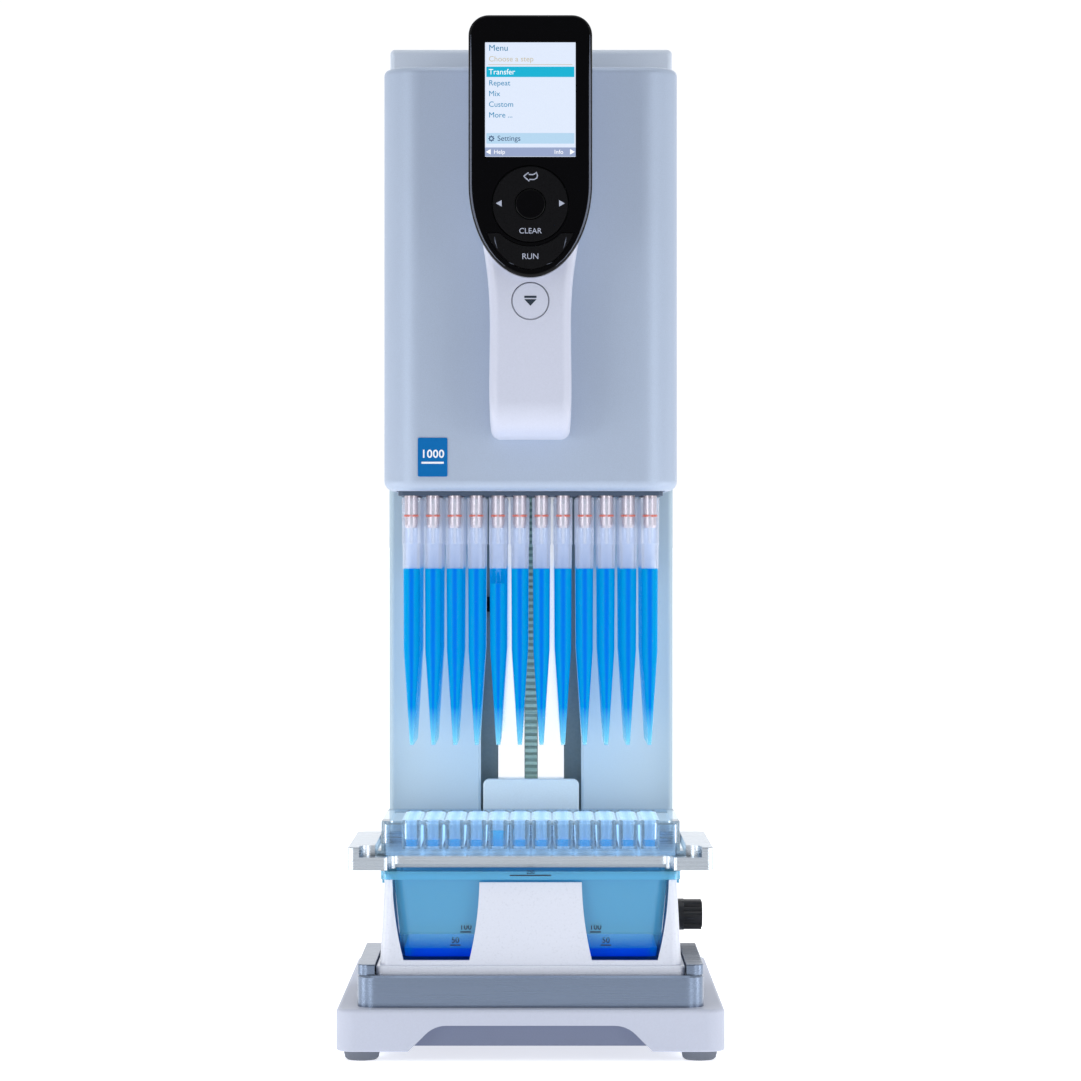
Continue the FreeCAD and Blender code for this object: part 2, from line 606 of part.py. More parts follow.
def spine_parts():
    """The upright plate inside the tower, with the two guide rails on its front."""
    spine = mid_box(SPINE_HALF_X, RAIL_BACK, SPINE_BACK, BASE_TOP, 411.5)
    for z0, z1 in ((BASE_TOP - 1, 72), (391, 420)):
        spine = spine.cut(mid_box(5.2, 20, 32, z0, z1))
    for side in (-1, 1):
        spine = spine.cut(rod_y(ROD_R + 1, 20, 32, side * ROD_X, ROD_Z))
    spine = spine.cut(rod_x(SHAFT_R + RUNNING, -40, 40, PULLEY_Y, DRIVE_Z))
    spine = spine.cut(rod_x(SHAFT_R, -40, 40, PULLEY_Y, IDLER_Z))
    save("spine", spine)

    rails = []
    for side in (-1, 1):
        x0, x1 = sorted((side * RAIL_IN, side * RAIL_OUT))
        rails.append(box(x0, x1, RAIL_FRONT, RAIL_BACK, RAIL_BOTTOM, RAIL_TOP))
    save("guide_rails", *rails)

    sensor = box(-21.2, -16.8, 15.5, RAIL_BACK, 182.5, 189.0)
    save("end_stop_sensor", sensor.cut(box(-21.3, -18.3, 15, 19, 184.6, 186.9)))


def belt_loop(radius):
    """A solid loop round both pulleys, out to a radius."""
    loop = rod_x(radius, -BELT_HALF_X, BELT_HALF_X, PULLEY_Y, DRIVE_Z)
    loop = loop.fuse(rod_x(radius, -BELT_HALF_X, BELT_HALF_X, PULLEY_Y, IDLER_Z))
    middle = mid_box(BELT_HALF_X, PULLEY_Y - radius, PULLEY_Y + radius, DRIVE_Z, IDLER_Z)
    return loop.fuse(middle).removeSplitter()


def pulley(z, bore):
    """A flanged and toothed belt pulley."""
    wheel = rod_x(BELT_R - BELT_HALF_T - 0.25, -3.4, 3.4, PULLEY_Y, z)
    for x0 in (-4.6, 3.4):
        wheel = wheel.fuse(rod_x(9.6, x0, x0 + 1.2, PULLEY_Y, z))
    gaps = []
    tooth_count, gap_circle = 10, 7.3
    for n in range(tooth_count):
        angle = 2 * math.pi * n / tooth_count
        gaps.append(rod_x(0.9, -3.3, 3.3, PULLEY_Y + gap_circle * math.cos(angle),
                          z + gap_circle * math.sin(angle)))
    return wheel.cut(gaps).cut(rod_x(bore, -10, 10, PULLEY_Y, z)).removeSplitter()


def belt_parts():
    belt = belt_loop(BELT_R + BELT_HALF_T).cut(belt_loop(BELT_R - BELT_HALF_T))
    ribs = belt_teeth(DRIVE_Z, IDLER_Z, PULLEY_Y - BELT_R, -1)
    ribs += belt_teeth(DRIVE_Z, IDLER_Z, PULLEY_Y + BELT_R, 1)
    save("drive_belt", belt.fuse(ribs))
    save("drive_pulley", pulley(DRIVE_Z, SHAFT_R))
    save("idler_pulley", pulley(IDLER_Z, SHAFT_R + RUNNING))
    save("idler_axle", rod_x(SHAFT_R, -20, 20, PULLEY_Y, IDLER_Z))


def drive_parts():
    """The drive shaft across the tower, its motor inside and its height knob outside."""
    save("drive_shaft", rod_x(SHAFT_R, -52, 68, PULLEY_Y, DRIVE_Z))

    knob = rod_x(5.6, 64.5, 75.0, PULLEY_Y, DRIVE_Z)
    knob = knob.fuse(rod_x(6.9, 64.0, 67.0, PULLEY_Y, DRIVE_Z))
    lobe_count, lobe_circle = 6, 5.2
    for n in range(lobe_count):
        angle = 2 * math.pi * n / lobe_count
        knob = knob.fuse(rod_x(1.9, 66.0, 74.6, PULLEY_Y + lobe_circle * math.cos(angle),
                               DRIVE_Z + lobe_circle * math.sin(angle)))
    knob = knob.cut(rod_x(SHAFT_R, 60, 68, PULLEY_Y, DRIVE_Z))
    save("height_knob", knob.removeSplitter())

    motor_front, motor_back, flange_half = -57, -31.5, 17
    motor = rod_x(15, motor_front, motor_back, PULLEY_Y, DRIVE_Z)
    motor = motor.fuse(box(motor_back - 3, motor_back, PULLEY_Y - flange_half,
                           PULLEY_Y + flange_half, DRIVE_Z - flange_half, DRIVE_Z + flange_half))
    save("lift_motor", motor.cut(rod_x(SHAFT_R + 0.3, -53, -30, PULLEY_Y, DRIVE_Z)))


# ---- Pipetting head ----
def head_shell(inset, y1, z0, z1, corner):
    """The outer form of the head, made smaller by inset on its sides and front."""
    half_x = HEAD_HALF_X - inset
    front = HEAD_FRONT + inset
    shell = mid_box(half_x, front, y1, z0, z1)
    return upright(shell, corner, lambda p: near(p.y, front))


def head_cover_parts():
    cover = head_shell(0, HEAD_REAR, HEAD_BOTTOM, HEAD_TOP, HEAD_CORNER)
    top = edges_where(cover, lambda p: near(p.z, HEAD_TOP))
    cover = cover.makeFillet(2.6, [e for e in top if not near(e.CenterOfMass.y, HEAD_REAR)])
    low = edges_where(cover, lambda p: near(p.z, HEAD_BOTTOM))
    cover = cover.makeFillet(4.2, [e for e in low if not near(e.CenterOfMass.y, HEAD_REAR)])
    inside = head_shell(HEAD_WALL, HEAD_REAR + 1, HEAD_BOTTOM + 3, HEAD_TOP - HEAD_WALL,
                        HEAD_CORNER - HEAD_WALL)
    cover = cover.cut(inside)
    cover = cover.cut(mid_box(55.6, ARRAY_Y - 37.6, ARRAY_Y + 37.6, 200, 240))
    screws = []
    for side in (-1, 1):
        for z in (250, 392):
            x0, x1 = sorted((side * (HEAD_HALF_X - 0.5), side * (HEAD_HALF_X + 0.5)))
            cover = cover.cut(rod_x(2.6, x0, x1, -9, z))
            recess = rod_x(1.2, side * (HEAD_HALF_X + 0.7) - 0.7, side * (HEAD_HALF_X + 0.7) + 0.7, -9, z)
            screws.append(rod_x(2.6, x0, x1, -9, z).cut(recess))
    save("head_cover", cover)
    save("head_screws", *screws)

    label = box(-46.4, -34.2, HEAD_FRONT - 0.35, HEAD_FRONT, 239.9, 255.9)
    save("volume_label", label.makeFillet(0.6, [e for e in label.Edges if near(e.Length, 0.35)]))


def carriage_parts():
    """The head's back plate and the carriage that runs on the guide rails."""
    rear = HEAD_REAR + BACK_PLATE
    bearing_front = 9.5
    save("head_back_plate", mid_box(57, HEAD_REAR, rear, NOZZLE_PLATE[0], 404))
    carriage = mid_box(19, rear, bearing_front, 300, 385)
    depth = bearing_front - rear
    across = [e for e in carriage.Edges if near(e.Length, depth)]
    save("carriage", carriage.makeChamfer(0.8, across))
    blocks = []
    for side in (-1, 1):
        for z in (302, 358):
            x0, x1 = sorted((side * 3.1, side * 19))
            block = box(x0, x1, bearing_front, RAIL_BACK - 0.5, z, z + 23)
            x0, x1 = sorted((side * 0.5, side * (RAIL_OUT + RUNNING)))
            blocks.append(block.cut(box(x0, x1, RAIL_FRONT - RUNNING, 30, z - 1, z + 24)))
    save("bearing_blocks", *blocks)
    save("belt_clamp", mid_box(2.5, bearing_front, 16.3, 335, 350))


def ejector_pin_places():
    """The X and Y of the pins that carry the stripper plate."""
    return [(sx * 45, ARRAY_Y + sy * 35.3) for sx in (-1, 1) for sy in (-1, 1)]


def nozzle_parts():
    """The 96 nozzles with their seals, and the plate that holds them."""
    low, high = NOZZLE_PLATE
    plate = head_shell(PLATE_INSET, HEAD_REAR, low, high, HEAD_CORNER - PLATE_INSET)
    bores = repeat(rod_z(NOZZLE_R, low - 1, high + 1, 0, 0), channels())
    bores += repeat(rod_z(1.6, low - 1, high + 1, 0, 0), ejector_pin_places())
    save("nozzle_plate", plate.cut(Part.makeCompound(bores)))

    groove = 0.45
    nozzle = turned([
        (0.8, NOZZLE_END), (NOZZLE_R - 0.5, NOZZLE_END), (NOZZLE_R - 0.1, NOZZLE_END + 1.2),
        (NOZZLE_R - 0.1, O_RING_Z - 0.5), (NOZZLE_R - groove, O_RING_Z - 0.5),
        (NOZZLE_R - groove, O_RING_Z + 0.5), (NOZZLE_R, O_RING_Z + 0.5),
        (NOZZLE_R, high), (0.8, high)])
    save("nozzles", *repeat(nozzle, channels()))
    ring = turned([
        (NOZZLE_R - groove, O_RING_Z - 0.42), (NOZZLE_R + 0.1, O_RING_Z - 0.42),
        (NOZZLE_R + 0.26, O_RING_Z - 0.2), (NOZZLE_R + 0.26, O_RING_Z + 0.2),
        (NOZZLE_R + 0.1, O_RING_Z + 0.42), (NOZZLE_R - groove, O_RING_Z + 0.42)])
    save("nozzle_o_rings", *repeat(ring, channels()))


def cylinder_parts():
    """The cylinder block, its guide posts and the motor plate on top of them."""
    block = mid_box(54.5, ARRAY_Y - 36.2, ARRAY_Y + 36.2, NOZZLE_PLATE[1], CYLINDER_TOP)
    bore = rod_z(PISTON_R + RUNNING, NOZZLE_PLATE[1] - 1, CYLINDER_TOP + 1, 0, 0)
    save("cylinder_block", block.cut(Part.makeCompound(repeat(bore, channels()))))

    post = rod_z(POST_R, NOZZLE_PLATE[1], MOTOR_PLATE[0], 0, 0)
    save("guide_posts", *repeat(post, guide_post_places()))

    motor_top, motor_half = 398, 21
    plate = head_shell(PLATE_INSET, HEAD_REAR, *MOTOR_PLATE, HEAD_CORNER - PLATE_INSET)
    save("motor_plate", plate.cut(rod_z(SCREW_R + 0.5, 350, 365, 0, ARRAY_Y)))
    motor = mid_box(motor_half, ARRAY_Y - motor_half, ARRAY_Y + motor_half, MOTOR_PLATE[1], motor_top)
    upright_edges = [e for e in motor.Edges if near(e.Length, motor_top - MOTOR_PLATE[1])]
    motor = motor.makeChamfer(3.5, upright_edges)
    save("piston_motor", motor.cut(rod_z(SCREW_R + 0.2, 350, 373, 0, ARRAY_Y)))

    board = mid_box(44, HEAD_FRONT + 4.4, HEAD_FRONT + 6, 364, 402)
    chips = [box(-30, -12, HEAD_FRONT + 6, HEAD_FRONT + 9, 370, 390),
             box(4, 14, HEAD_FRONT + 6, HEAD_FRONT + 12, 374, 396)]
    save("head_board", board, *chips)


def guide_post_places():
    """The X and Y of the posts that the piston plate slides on."""
    return [(sx * POST_X, ARRAY_Y + sy * POST_Y) for sx in (-1, 1) for sy in (-1, 1)]


def piston_parts():
    """The piston plate with its 96 pistons, and the nut and lead screw that drive it."""
    low, high = PISTON_PLATE
    nut_r, flange_r, flange_top = 6.0, 9.5, high + 4
    plate = head_shell(PLATE_INSET, ARRAY_Y + 42, low, high, HEAD_CORNER - PLATE_INSET)
    holes = repeat(rod_z(POST_R + RUNNING, low - 5, high + 5, 0, 0), guide_post_places())
    holes.append(rod_z(nut_r, low - 5, high + 5, 0, ARRAY_Y))
    save("piston_plate", plate.cut(Part.makeCompound(holes)))
    piston = turned([(0, PISTON_BOTTOM), (PISTON_R, PISTON_BOTTOM), (PISTON_R, PISTON_BOTTOM + 5),
                     (1.4, PISTON_BOTTOM + 5), (1.4, low), (0, low)])
    save("pistons", *repeat(piston, channels()))
    nut = turned([(SCREW_R + RUNNING, low + 0.5), (nut_r, low + 0.5), (nut_r, high),
                  (flange_r, high), (flange_r, flange_top), (SCREW_R + RUNNING, flange_top)])
    save("screw_nut", *repeat(nut, [(0, ARRAY_Y)]))
    save("lead_screw", rod_z(SCREW_R, 297, 372, 0, ARRAY_Y))


def tip_parts():
    """The stripper plate with its four pins, and the rack of 96 disposable tips."""
    plate = mid_box(54.8, ARRAY_Y - 36.8, ARRAY_Y + 36.8, STRIPPER_BOTTOM, STRIPPER_TOP)
    plate = upright(plate, 2.0, lambda p: True)
    plate = plate.fuse(repeat(rod_z(1.4, STRIPPER_TOP - 0.5, 243, 0, 0), ejector_pin_places()))
    bores = repeat(rod_z(3.3, 220, STRIPPER_TOP + 0.1, 0, 0), channels())
    save("stripper_plate", plate.cut(Part.makeCompound(bores)))

    tip = turned([
        (3.15, TIP_TOP), (3.15, TIP_TOP - 15), (2.95, TIP_TOP - 17), (2.72, TIP_SHOULDER),
        (0.4, TIP_END), (0.85, TIP_END), (3.4, TIP_SHOULDER), (3.62, TIP_STEP - 0.3),
        (3.9, TIP_STEP), (3.9, TIP_TOP)])
    save("pipette_tips", *repeat(tip, channels()))


# ---- Handset ----
def fascia_wire(inset=0.0):
    """The outline of the black front, which is elliptical at its foot, drawn in the XZ plane."""
    half, corner = HANDSET_HALF_X - inset, 8.2 - inset
    shoulder, foot, top = 358.0, 319.8 + inset, HANDSET_TOP - inset
    ellipse = Part.Ellipse(Vector(0, 0, foot), Vector(half, 0, shoulder), Vector(0, 0, shoulder))
    diagonal = corner * (1 - math.sqrt(0.5))
    a, b = Vector(-half, 0, top - corner), Vector(-half + corner, 0, top)
    c, d = Vector(half - corner, 0, top), Vector(half, 0, top - corner)
    return Part.Wire([
        Part.ArcOfEllipse(ellipse, -math.pi / 2, math.pi / 2).toShape(),
        Part.LineSegment(Vector(half, 0, shoulder), d).toShape(),
        Part.Arc(d, Vector(half - diagonal, 0, top - diagonal), c).toShape(),
        Part.LineSegment(c, b).toShape(),
        Part.Arc(b, Vector(-half + diagonal, 0, top - diagonal), a).toShape(),
        Part.LineSegment(a, Vector(-half, 0, shoulder)).toShape(),
    ])


def handle_wire():
    """The outline of the grip below the front, flaring up to meet it."""
    right = [(15.9, HANDLE_BOTTOM), (16.6, 290.0), (16.9, 314.0), (19.4, 334.0), (23.0, 350.0)]
    points = [Vector(x, 0, z) for x, z in right]
    side = Part.BSplineCurve()
    side.interpolate(points)
    other = Part.BSplineCurve()
    other.interpolate([Vector(-p.x, 0, p.z) for p in points])
    return Part.Wire([
        side.toShape(),
        Part.LineSegment(points[-1], Vector(-points[-1].x, 0, points[-1].z)).toShape(),
        other.toShape(),
        Part.LineSegment(Vector(-points[0].x, 0, points[0].z), points[0]).toShape(),
    ])


def grip_side_view():
    """The grip from the side: a straight front and a heel that curves back to the head."""
    front, low, heel = HANDLE_FRONT, HANDLE_BOTTOM, 15.0
    diagonal = heel * (1 - math.sqrt(0.5))
    wire = Part.Wire([
        Part.LineSegment(Vector(-30, front, 360), Vector(-30, front, low + heel)).toShape(),
        Part.Arc(Vector(-30, front, low + heel), Vector(-30, front + diagonal, low + diagonal),
                 Vector(-30, front + heel, low)).toShape(),
        Part.LineSegment(Vector(-30, front + heel, low), Vector(-30, HEAD_FRONT, low)).toShape(),
        Part.LineSegment(Vector(-30, HEAD_FRONT, low), Vector(-30, HEAD_FRONT, 360)).toShape(),
        Part.LineSegment(Vector(-30, HEAD_FRONT, 360), Vector(-30, front, 360)).toShape(),
    ])
    return Part.Face(wire)


def run_button_shape(inset, y0, y1):
    """The shield-shaped key between the wheel and the foot of the fascia."""
    key = front_face(fascia_wire(3.4 + inset), y0).extrude(Vector(0, y1 - y0, 0))
    key = key.common(mid_box(30, y0, y1, 300, 337.6 - inset))
    return key.cut(rod_y(WHEEL_R + 1.7 + inset, y0 - 1, y1 + 1, 0, WHEEL_Z))


def fascia_parts():
    """The black front with its display, wheel and keys."""
    fascia = front_face(fascia_wire(), HANDSET_FRONT).extrude(
        Vector(0, FASCIA_BACK - HANDSET_FRONT, 0))
    rim = edges_where(fascia, lambda p: near(p.y, HANDSET_FRONT))
    fascia = fascia.makeFillet(1.3, rim)
    x0, x1, z0, z1 = SCREEN
    glass, bed = HANDSET_FRONT + 0.5, HANDSET_FRONT + 2.6
    before, behind = HANDSET_FRONT - 1, FASCIA_BACK + 1
    fascia = fascia.cut(box(x0, x1, before, bed, z0, z1))
    fascia = fascia.cut(rod_y(WHEEL_R + BUTTON_GAP, before, behind, 0, WHEEL_Z))
    fascia = fascia.cut(run_button_shape(-BUTTON_GAP, before, behind))
    save("handset_fascia", fascia)
    save("display_module", box(x0, x1, glass, bed, z0, z1))

    face, back = HANDSET_FRONT + 0.25, HANDSET_FRONT + 3.25
    wheel = rod_y(WHEEL_R, face, back, 0, WHEEL_Z)
    wheel = wheel.makeFillet(0.5, edges_where(wheel, lambda p: near(p.y, face)))
    save("touch_wheel", wheel.cut(rod_y(OK_R + BUTTON_GAP, face - 1, back + 1, 0, WHEEL_Z)))
    button = rod_y(OK_R, face, back, 0, WHEEL_Z)
    save("ok_button", button.makeFillet(0.5, edges_where(button, lambda p: near(p.y, face))))
    save("run_button", run_button_shape(0.0, face, back))


def grip_shape():
    """The solid grip, rounded along the two long edges of its front."""
    grip = front_face(handle_wire(), HANDLE_FRONT).extrude(
        Vector(0, HEAD_FRONT - HANDLE_FRONT, 0))
    grip = grip.common(grip_side_view().extrude(Vector(60, 0, 0)))
    front_rim = [e for e in grip.Edges if e.Length > 15
                 and near(e.Vertexes[0].Point.y, HANDLE_FRONT)
                 and near(e.Vertexes[-1].Point.y, HANDLE_FRONT)
                 and abs(e.CenterOfMass.x) > 10]
    grip = grip.makeFillet(4.0, front_rim)
    return grip.cut(front_face(fascia_wire(), HANDSET_FRONT).extrude(
        Vector(0, FASCIA_BACK - HANDSET_FRONT, 0)))


def handset_parts():
    """The light body of the handset, the eject button in its grip and the board inside."""
    depth = HEAD_FRONT - FASCIA_BACK
    shell = front_face(fascia_wire(0.5), FASCIA_BACK).extrude(Vector(0, depth, 0))
    shell = shell.fuse(grip_shape()).removeSplitter()
    hollow = front_face(fascia_wire(3.0), FASCIA_BACK - 1).extrude(Vector(0, depth - 1.5, 0))
    shell = shell.cut(hollow.common(mid_box(40, -200, 0, 329, 440)))
    shell = shell.cut(rod_y(EJECT_R + BUTTON_GAP, HANDLE_FRONT - 10, HANDLE_FRONT + 6, 0, EJECT_Z))
    save("handset_shell", shell)

    button = rod_y(EJECT_R, HANDLE_FRONT, HANDLE_FRONT + 4.0, 0, EJECT_Z)
    save("eject_button", button.makeFillet(0.4, edges_where(button, lambda p: near(p.y, HANDLE_FRONT))))
    board_front, board_back = FASCIA_BACK + 3, FASCIA_BACK + 4.6
    board = mid_box(18.5, board_front, board_back, 343, 414)
    save("handset_board", board, box(-8, 8, board_back, board_back + 2.4, 380, 396))


def main():
    os.makedirs("parts", exist_ok=True)
    base_parts()
    lower_deck_part()
    holder_part()
    liner_part()
    upper_deck_parts()
    microplate_part()
    tower_panels()
    rear_cover_parts()
    tower_cap_part()
    bracket_parts()
    socket_parts()
    control_board_part()
    spine_parts()
    belt_parts()
    drive_parts()
    head_cover_parts()
    carriage_parts()
    nozzle_parts()
    cylinder_parts()
    piston_parts()
    tip_parts()
    fascia_parts()
    handset_parts()


main()
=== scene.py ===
"""Looks for the 96-channel benchtop pipette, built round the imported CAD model. Lengths are in metres.

The object faces -Y, with +Z up. CAD nodes keep their places and get procedural materials. The tips,
the liquids, the screen's contents, the printed marks and other fine detail are built here.
"""

import math
import random

import bmesh
import bpy
from mathutils import Matrix, Vector


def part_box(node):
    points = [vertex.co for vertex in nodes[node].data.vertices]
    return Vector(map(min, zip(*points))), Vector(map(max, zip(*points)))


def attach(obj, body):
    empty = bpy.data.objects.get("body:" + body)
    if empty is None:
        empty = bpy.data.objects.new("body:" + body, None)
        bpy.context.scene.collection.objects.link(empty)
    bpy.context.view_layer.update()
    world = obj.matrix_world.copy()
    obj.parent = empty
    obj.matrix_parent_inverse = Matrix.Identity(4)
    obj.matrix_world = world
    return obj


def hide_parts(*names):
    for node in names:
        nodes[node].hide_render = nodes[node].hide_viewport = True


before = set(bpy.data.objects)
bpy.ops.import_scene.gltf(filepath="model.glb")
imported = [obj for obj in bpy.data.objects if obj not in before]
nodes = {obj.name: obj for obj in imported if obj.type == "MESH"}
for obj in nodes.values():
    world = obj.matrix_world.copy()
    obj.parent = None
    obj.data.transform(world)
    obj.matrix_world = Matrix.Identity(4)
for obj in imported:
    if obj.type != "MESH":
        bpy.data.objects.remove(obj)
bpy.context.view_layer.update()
random.seed(7)

# ---- Layout, from the frame ----
PITCH = 0.009
COLUMNS, ROWS = 12, 8
TIPS_LOW, TIPS_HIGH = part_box("pipette_tips")
ARRAY_Y = (TIPS_LOW.y + TIPS_HIGH.y) / 2
SCREEN_LOW, SCREEN_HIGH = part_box("display_module")
WHEEL_LOW, WHEEL_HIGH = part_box("touch_wheel")
FASCIA_LOW, FASCIA_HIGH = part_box("handset_fascia")
RUN_LOW, RUN_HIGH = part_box("run_button")
EJECT_LOW, EJECT_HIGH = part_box("eject_button")
LABEL_LOW, LABEL_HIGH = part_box("volume_label")
PLATE_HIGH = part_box("microplate")[1]
LINER_LOW, LINER_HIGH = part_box("reservoir_liner")
MM = 0.001
TIP_STEP = TIPS_HIGH.z - 19.4 * MM      # where a tip gets narrower under its collar
TIP_SHOULDER = TIPS_HIGH.z - 63.4 * MM  # where its long taper starts
LIQUID_TOP = TIPS_HIGH.z - 29.6 * MM
POOL_TOP = LINER_LOW.z + 4.85 * MM
TAIL = 16.0 * MM                        # how far up from its end a tip's liquid looks thin
TAIL_BLUE = (120, 205, 228)
WELL_DEPTH = 10.9 * MM
ODD_ONE = 4                             # the front tip that holds less, and its well, which holds more
FASCIA_LENGTH = 106.0 * MM              # the black front, of which the foot is half an ellipse
FASCIA_STRAIGHT = 67.8 * MM
FASCIA_HALF = 25.0 * MM
PRINT_OUT = 0.06 * MM                   # how far the marks on the keys stand out
PRINT_IN = 0.02 * MM                    # and how far they reach in
LAYER = 0.06 * MM                       # from one layer of the screen's picture to the next
SCREEN_WORDS = 0.2 * MM                 # how far the screen's words stand out
SMOOTH_BELOW = math.radians(38)


# ---- Colour and node helpers ----
def linear(rgb):
    """A display colour, 0 to 255, as the linear colour that the shaders use."""
    parts = [c / 255 for c in rgb]
    return tuple(c / 12.92 if c <= 0.04045 else ((c + 0.055) / 1.055) ** 2.4 for c in parts) + (1.0,)


def new_material(name):
    """An empty material, with its node tree and its output node."""
    material = bpy.data.materials.new(name)
    material.use_nodes = True
    tree = material.node_tree
    tree.nodes.clear()
    output = tree.nodes.new("ShaderNodeOutputMaterial")
    return material, tree, output


def add(tree, kind, **settings):
    """A node with its properties set by name."""
    made = tree.nodes.new(kind)
    for key, value in settings.items():
        setattr(made, key, value)
    return made


def noise(tree, scale, stretch=(1, 1, 1), detail=3.0, rough=0.55):
    """Noise in object coordinates, with a scale per metre along each axis."""
    place = add(tree, "ShaderNodeTexCoord")
    mapping = add(tree, "ShaderNodeMapping")
    mapping.inputs["Scale"].default_value = stretch
    tree.links.new(place.outputs["Object"], mapping.inputs["Vector"])
    made = add(tree, "ShaderNodeTexNoise")
    made.inputs["Scale"].default_value = scale
    made.inputs["Detail"].default_value = detail
    made.inputs["Roughness"].default_value = rough
    tree.links.new(mapping.outputs["Vector"], made.inputs["Vector"])
    return made.outputs["Fac"]


def ranged(tree, value, from_min, from_max, to_min, to_max, smooth=False):
    """A value mapped from one range to another, and held at its ends."""
    made = add(tree, "ShaderNodeMapRange")
    if smooth:
        made.interpolation_type = "SMOOTHSTEP"
    made.inputs["From Min"].default_value = from_min
    made.inputs["From Max"].default_value = from_max
    made.inputs["To Min"].default_value = to_min
    made.inputs["To Max"].default_value = to_max
    tree.links.new(value, made.inputs["Value"])
    return made.outputs["Result"]


def spread(tree, value, low, high):
    """Noise mapped to a range. Nearly all of it lies between 0.3 and 0.7."""
    return ranged(tree, value, 0.3, 0.7, low, high)


def maths(tree, operation, first, second, clamp=False):
    """The result of an operation on a socket and another socket or a number."""
    made = add(tree, "ShaderNodeMath", operation=operation)
    made.use_clamp = clamp
    tree.links.new(first, made.inputs[0])
    if isinstance(second, (int, float)):
        made.inputs[1].default_value = second
    else:
        tree.links.new(second, made.inputs[1])
    return made.outputs["Value"]


def along(tree, axis, source="Object"):
    """One coordinate of a point. Object is its place at rest, and Generated is a world's direction."""
    place = add(tree, "ShaderNodeTexCoord")
    split = add(tree, "ShaderNodeSeparateXYZ")
    tree.links.new(place.outputs[source], split.inputs["Vector"])
    return split.outputs[axis]


def bumped(tree, value, strength, distance):
    """A normal that is tilted by a height value."""
    made = add(tree, "ShaderNodeBump")
    made.inputs["Strength"].default_value = strength
    made.inputs["Distance"].default_value = distance
    tree.links.new(value, made.inputs["Height"])
    return made.outputs["Normal"]


def mixed_shaders(tree, share, first, second):
    """Two shaders mixed: share is how much of the second one there is."""
    made = add(tree, "ShaderNodeMixShader")
    tree.links.new(share, made.inputs["Fac"])
    tree.links.new(first, made.inputs[1])
    tree.links.new(second, made.inputs[2])
    return made.outputs["Shader"]


def colour_of(mix):
    """The colour output of a colour mix node."""
    return [s for s in mix.outputs if s.type == "RGBA"][0]


def tinted(tree, value, dark, light):
    """Noise mapped between two colours."""
    made = add(tree, "ShaderNodeMix", data_type="RGBA")
    made.inputs["A"].default_value = dark
    made.inputs["B"].default_value = light
    tree.links.new(spread(tree, value, 0.0, 1.0), made.inputs["Factor"])
    return colour_of(made)


def height_share(tree, z_low, z_high, low=0.0):
    """A value that climbs from low to 1 between two heights of the object at rest."""
    return ranged(tree, along(tree, "Z"), z_low, z_high, low, 1.0)


def blended(tree, share, start, end):
    """A colour between two, each of them a display colour or a socket."""
    made = add(tree, "ShaderNodeMix", data_type="RGBA")
    for key, colour in (("A", start), ("B", end)):
        if isinstance(colour, tuple):
            made.inputs[key].default_value = linear(colour)
        else:
            tree.links.new(colour, made.inputs[key])
    tree.links.new(share, made.inputs["Factor"])
    return colour_of(made)


def multiplied(tree, first, second):
    """Two colours multiplied."""
    made = add(tree, "ShaderNodeMix", data_type="RGBA", blend_type="MULTIPLY")
    made.inputs["Factor"].default_value = 1.0
    tree.links.new(first, made.inputs["A"])
    tree.links.new(second, made.inputs["B"])
    return colour_of(made)


def shade(rgba, factor):
    """A linear colour made darker or lighter."""
    return tuple(min(1.0, c * factor) for c in rgba[:3]) + (1.0,)


def surface(name, rgb, rough, metallic=0.0, grain=900.0, stretch=(1, 1, 1), vary=0.03, rough_vary=0.04,
            bump=0.1, bump_size=0.00005, fine=None, coat=0.0, coat_rough=0.1, specular=0.5, cloud=0.02,
            glow=0.0, rib_shade_spacing=None):
    """An opaque surface: large soft tone changes, a grain in colour and roughness, and a bump. With
    rib_shade_spacing, it has darker bands across Z at that spacing: painted shade between a belt's
    teeth."""
    material, tree, output = new_material(name)
    base = linear(rgb)
    shader = add(tree, "ShaderNodeBsdfPrincipled")
    shader.inputs["Metallic"].default_value = metallic
    shader.inputs["Coat Weight"].default_value = coat
    shader.inputs["Coat Roughness"].default_value = coat_rough
    shader.inputs["Specular IOR Level"].default_value = specular
    # With glow, the surface glows though it is no lamp: painted light.
    shader.inputs["Emission Color"].default_value = base
    shader.inputs["Emission Strength"].default_value = glow
    grain_value = noise(tree, grain, stretch)
    soft_value = noise(tree, 14.0, (1, 1, 1), 2.0)
    grained = tinted(tree, grain_value, shade(base, 1 - vary), shade(base, 1 + vary))
    clouded = tinted(tree, soft_value, shade((1, 1, 1), 1 - cloud), (1, 1, 1, 1))
    if rib_shade_spacing is not None:
        grained = with_rib_shade(tree, grained, rib_shade_spacing)
    tree.links.new(multiplied(tree, grained, clouded), shader.inputs["Base Color"])
    tree.links.new(spread(tree, grain_value, rough - rough_vary, rough + rough_vary),
                   shader.inputs["Roughness"])
    source = grain_value if fine is None else noise(tree, fine, stretch, 2.0)
    tree.links.new(bumped(tree, source, bump, bump_size), shader.inputs["Normal"])
    tree.links.new(shader.outputs["BSDF"], output.inputs["Surface"])
    return material


def with_rib_shade(tree, colour, spacing):
    """A colour with darker bands across Z: painted shade between a belt's teeth."""
    place = add(tree, "ShaderNodeTexCoord")
    wave = add(tree, "ShaderNodeTexWave", bands_direction="Z")
    # This node's bands repeat every 2 pi / (20 scale).
    wave.inputs["Scale"].default_value = 2 * math.pi / (20 * spacing)
    tree.links.new(place.outputs["Object"], wave.inputs["Vector"])
    bands = tinted(tree, wave.outputs["Fac"], (0.5, 0.52, 0.52, 1), (1, 1, 1, 1))
    return multiplied(tree, colour, bands)


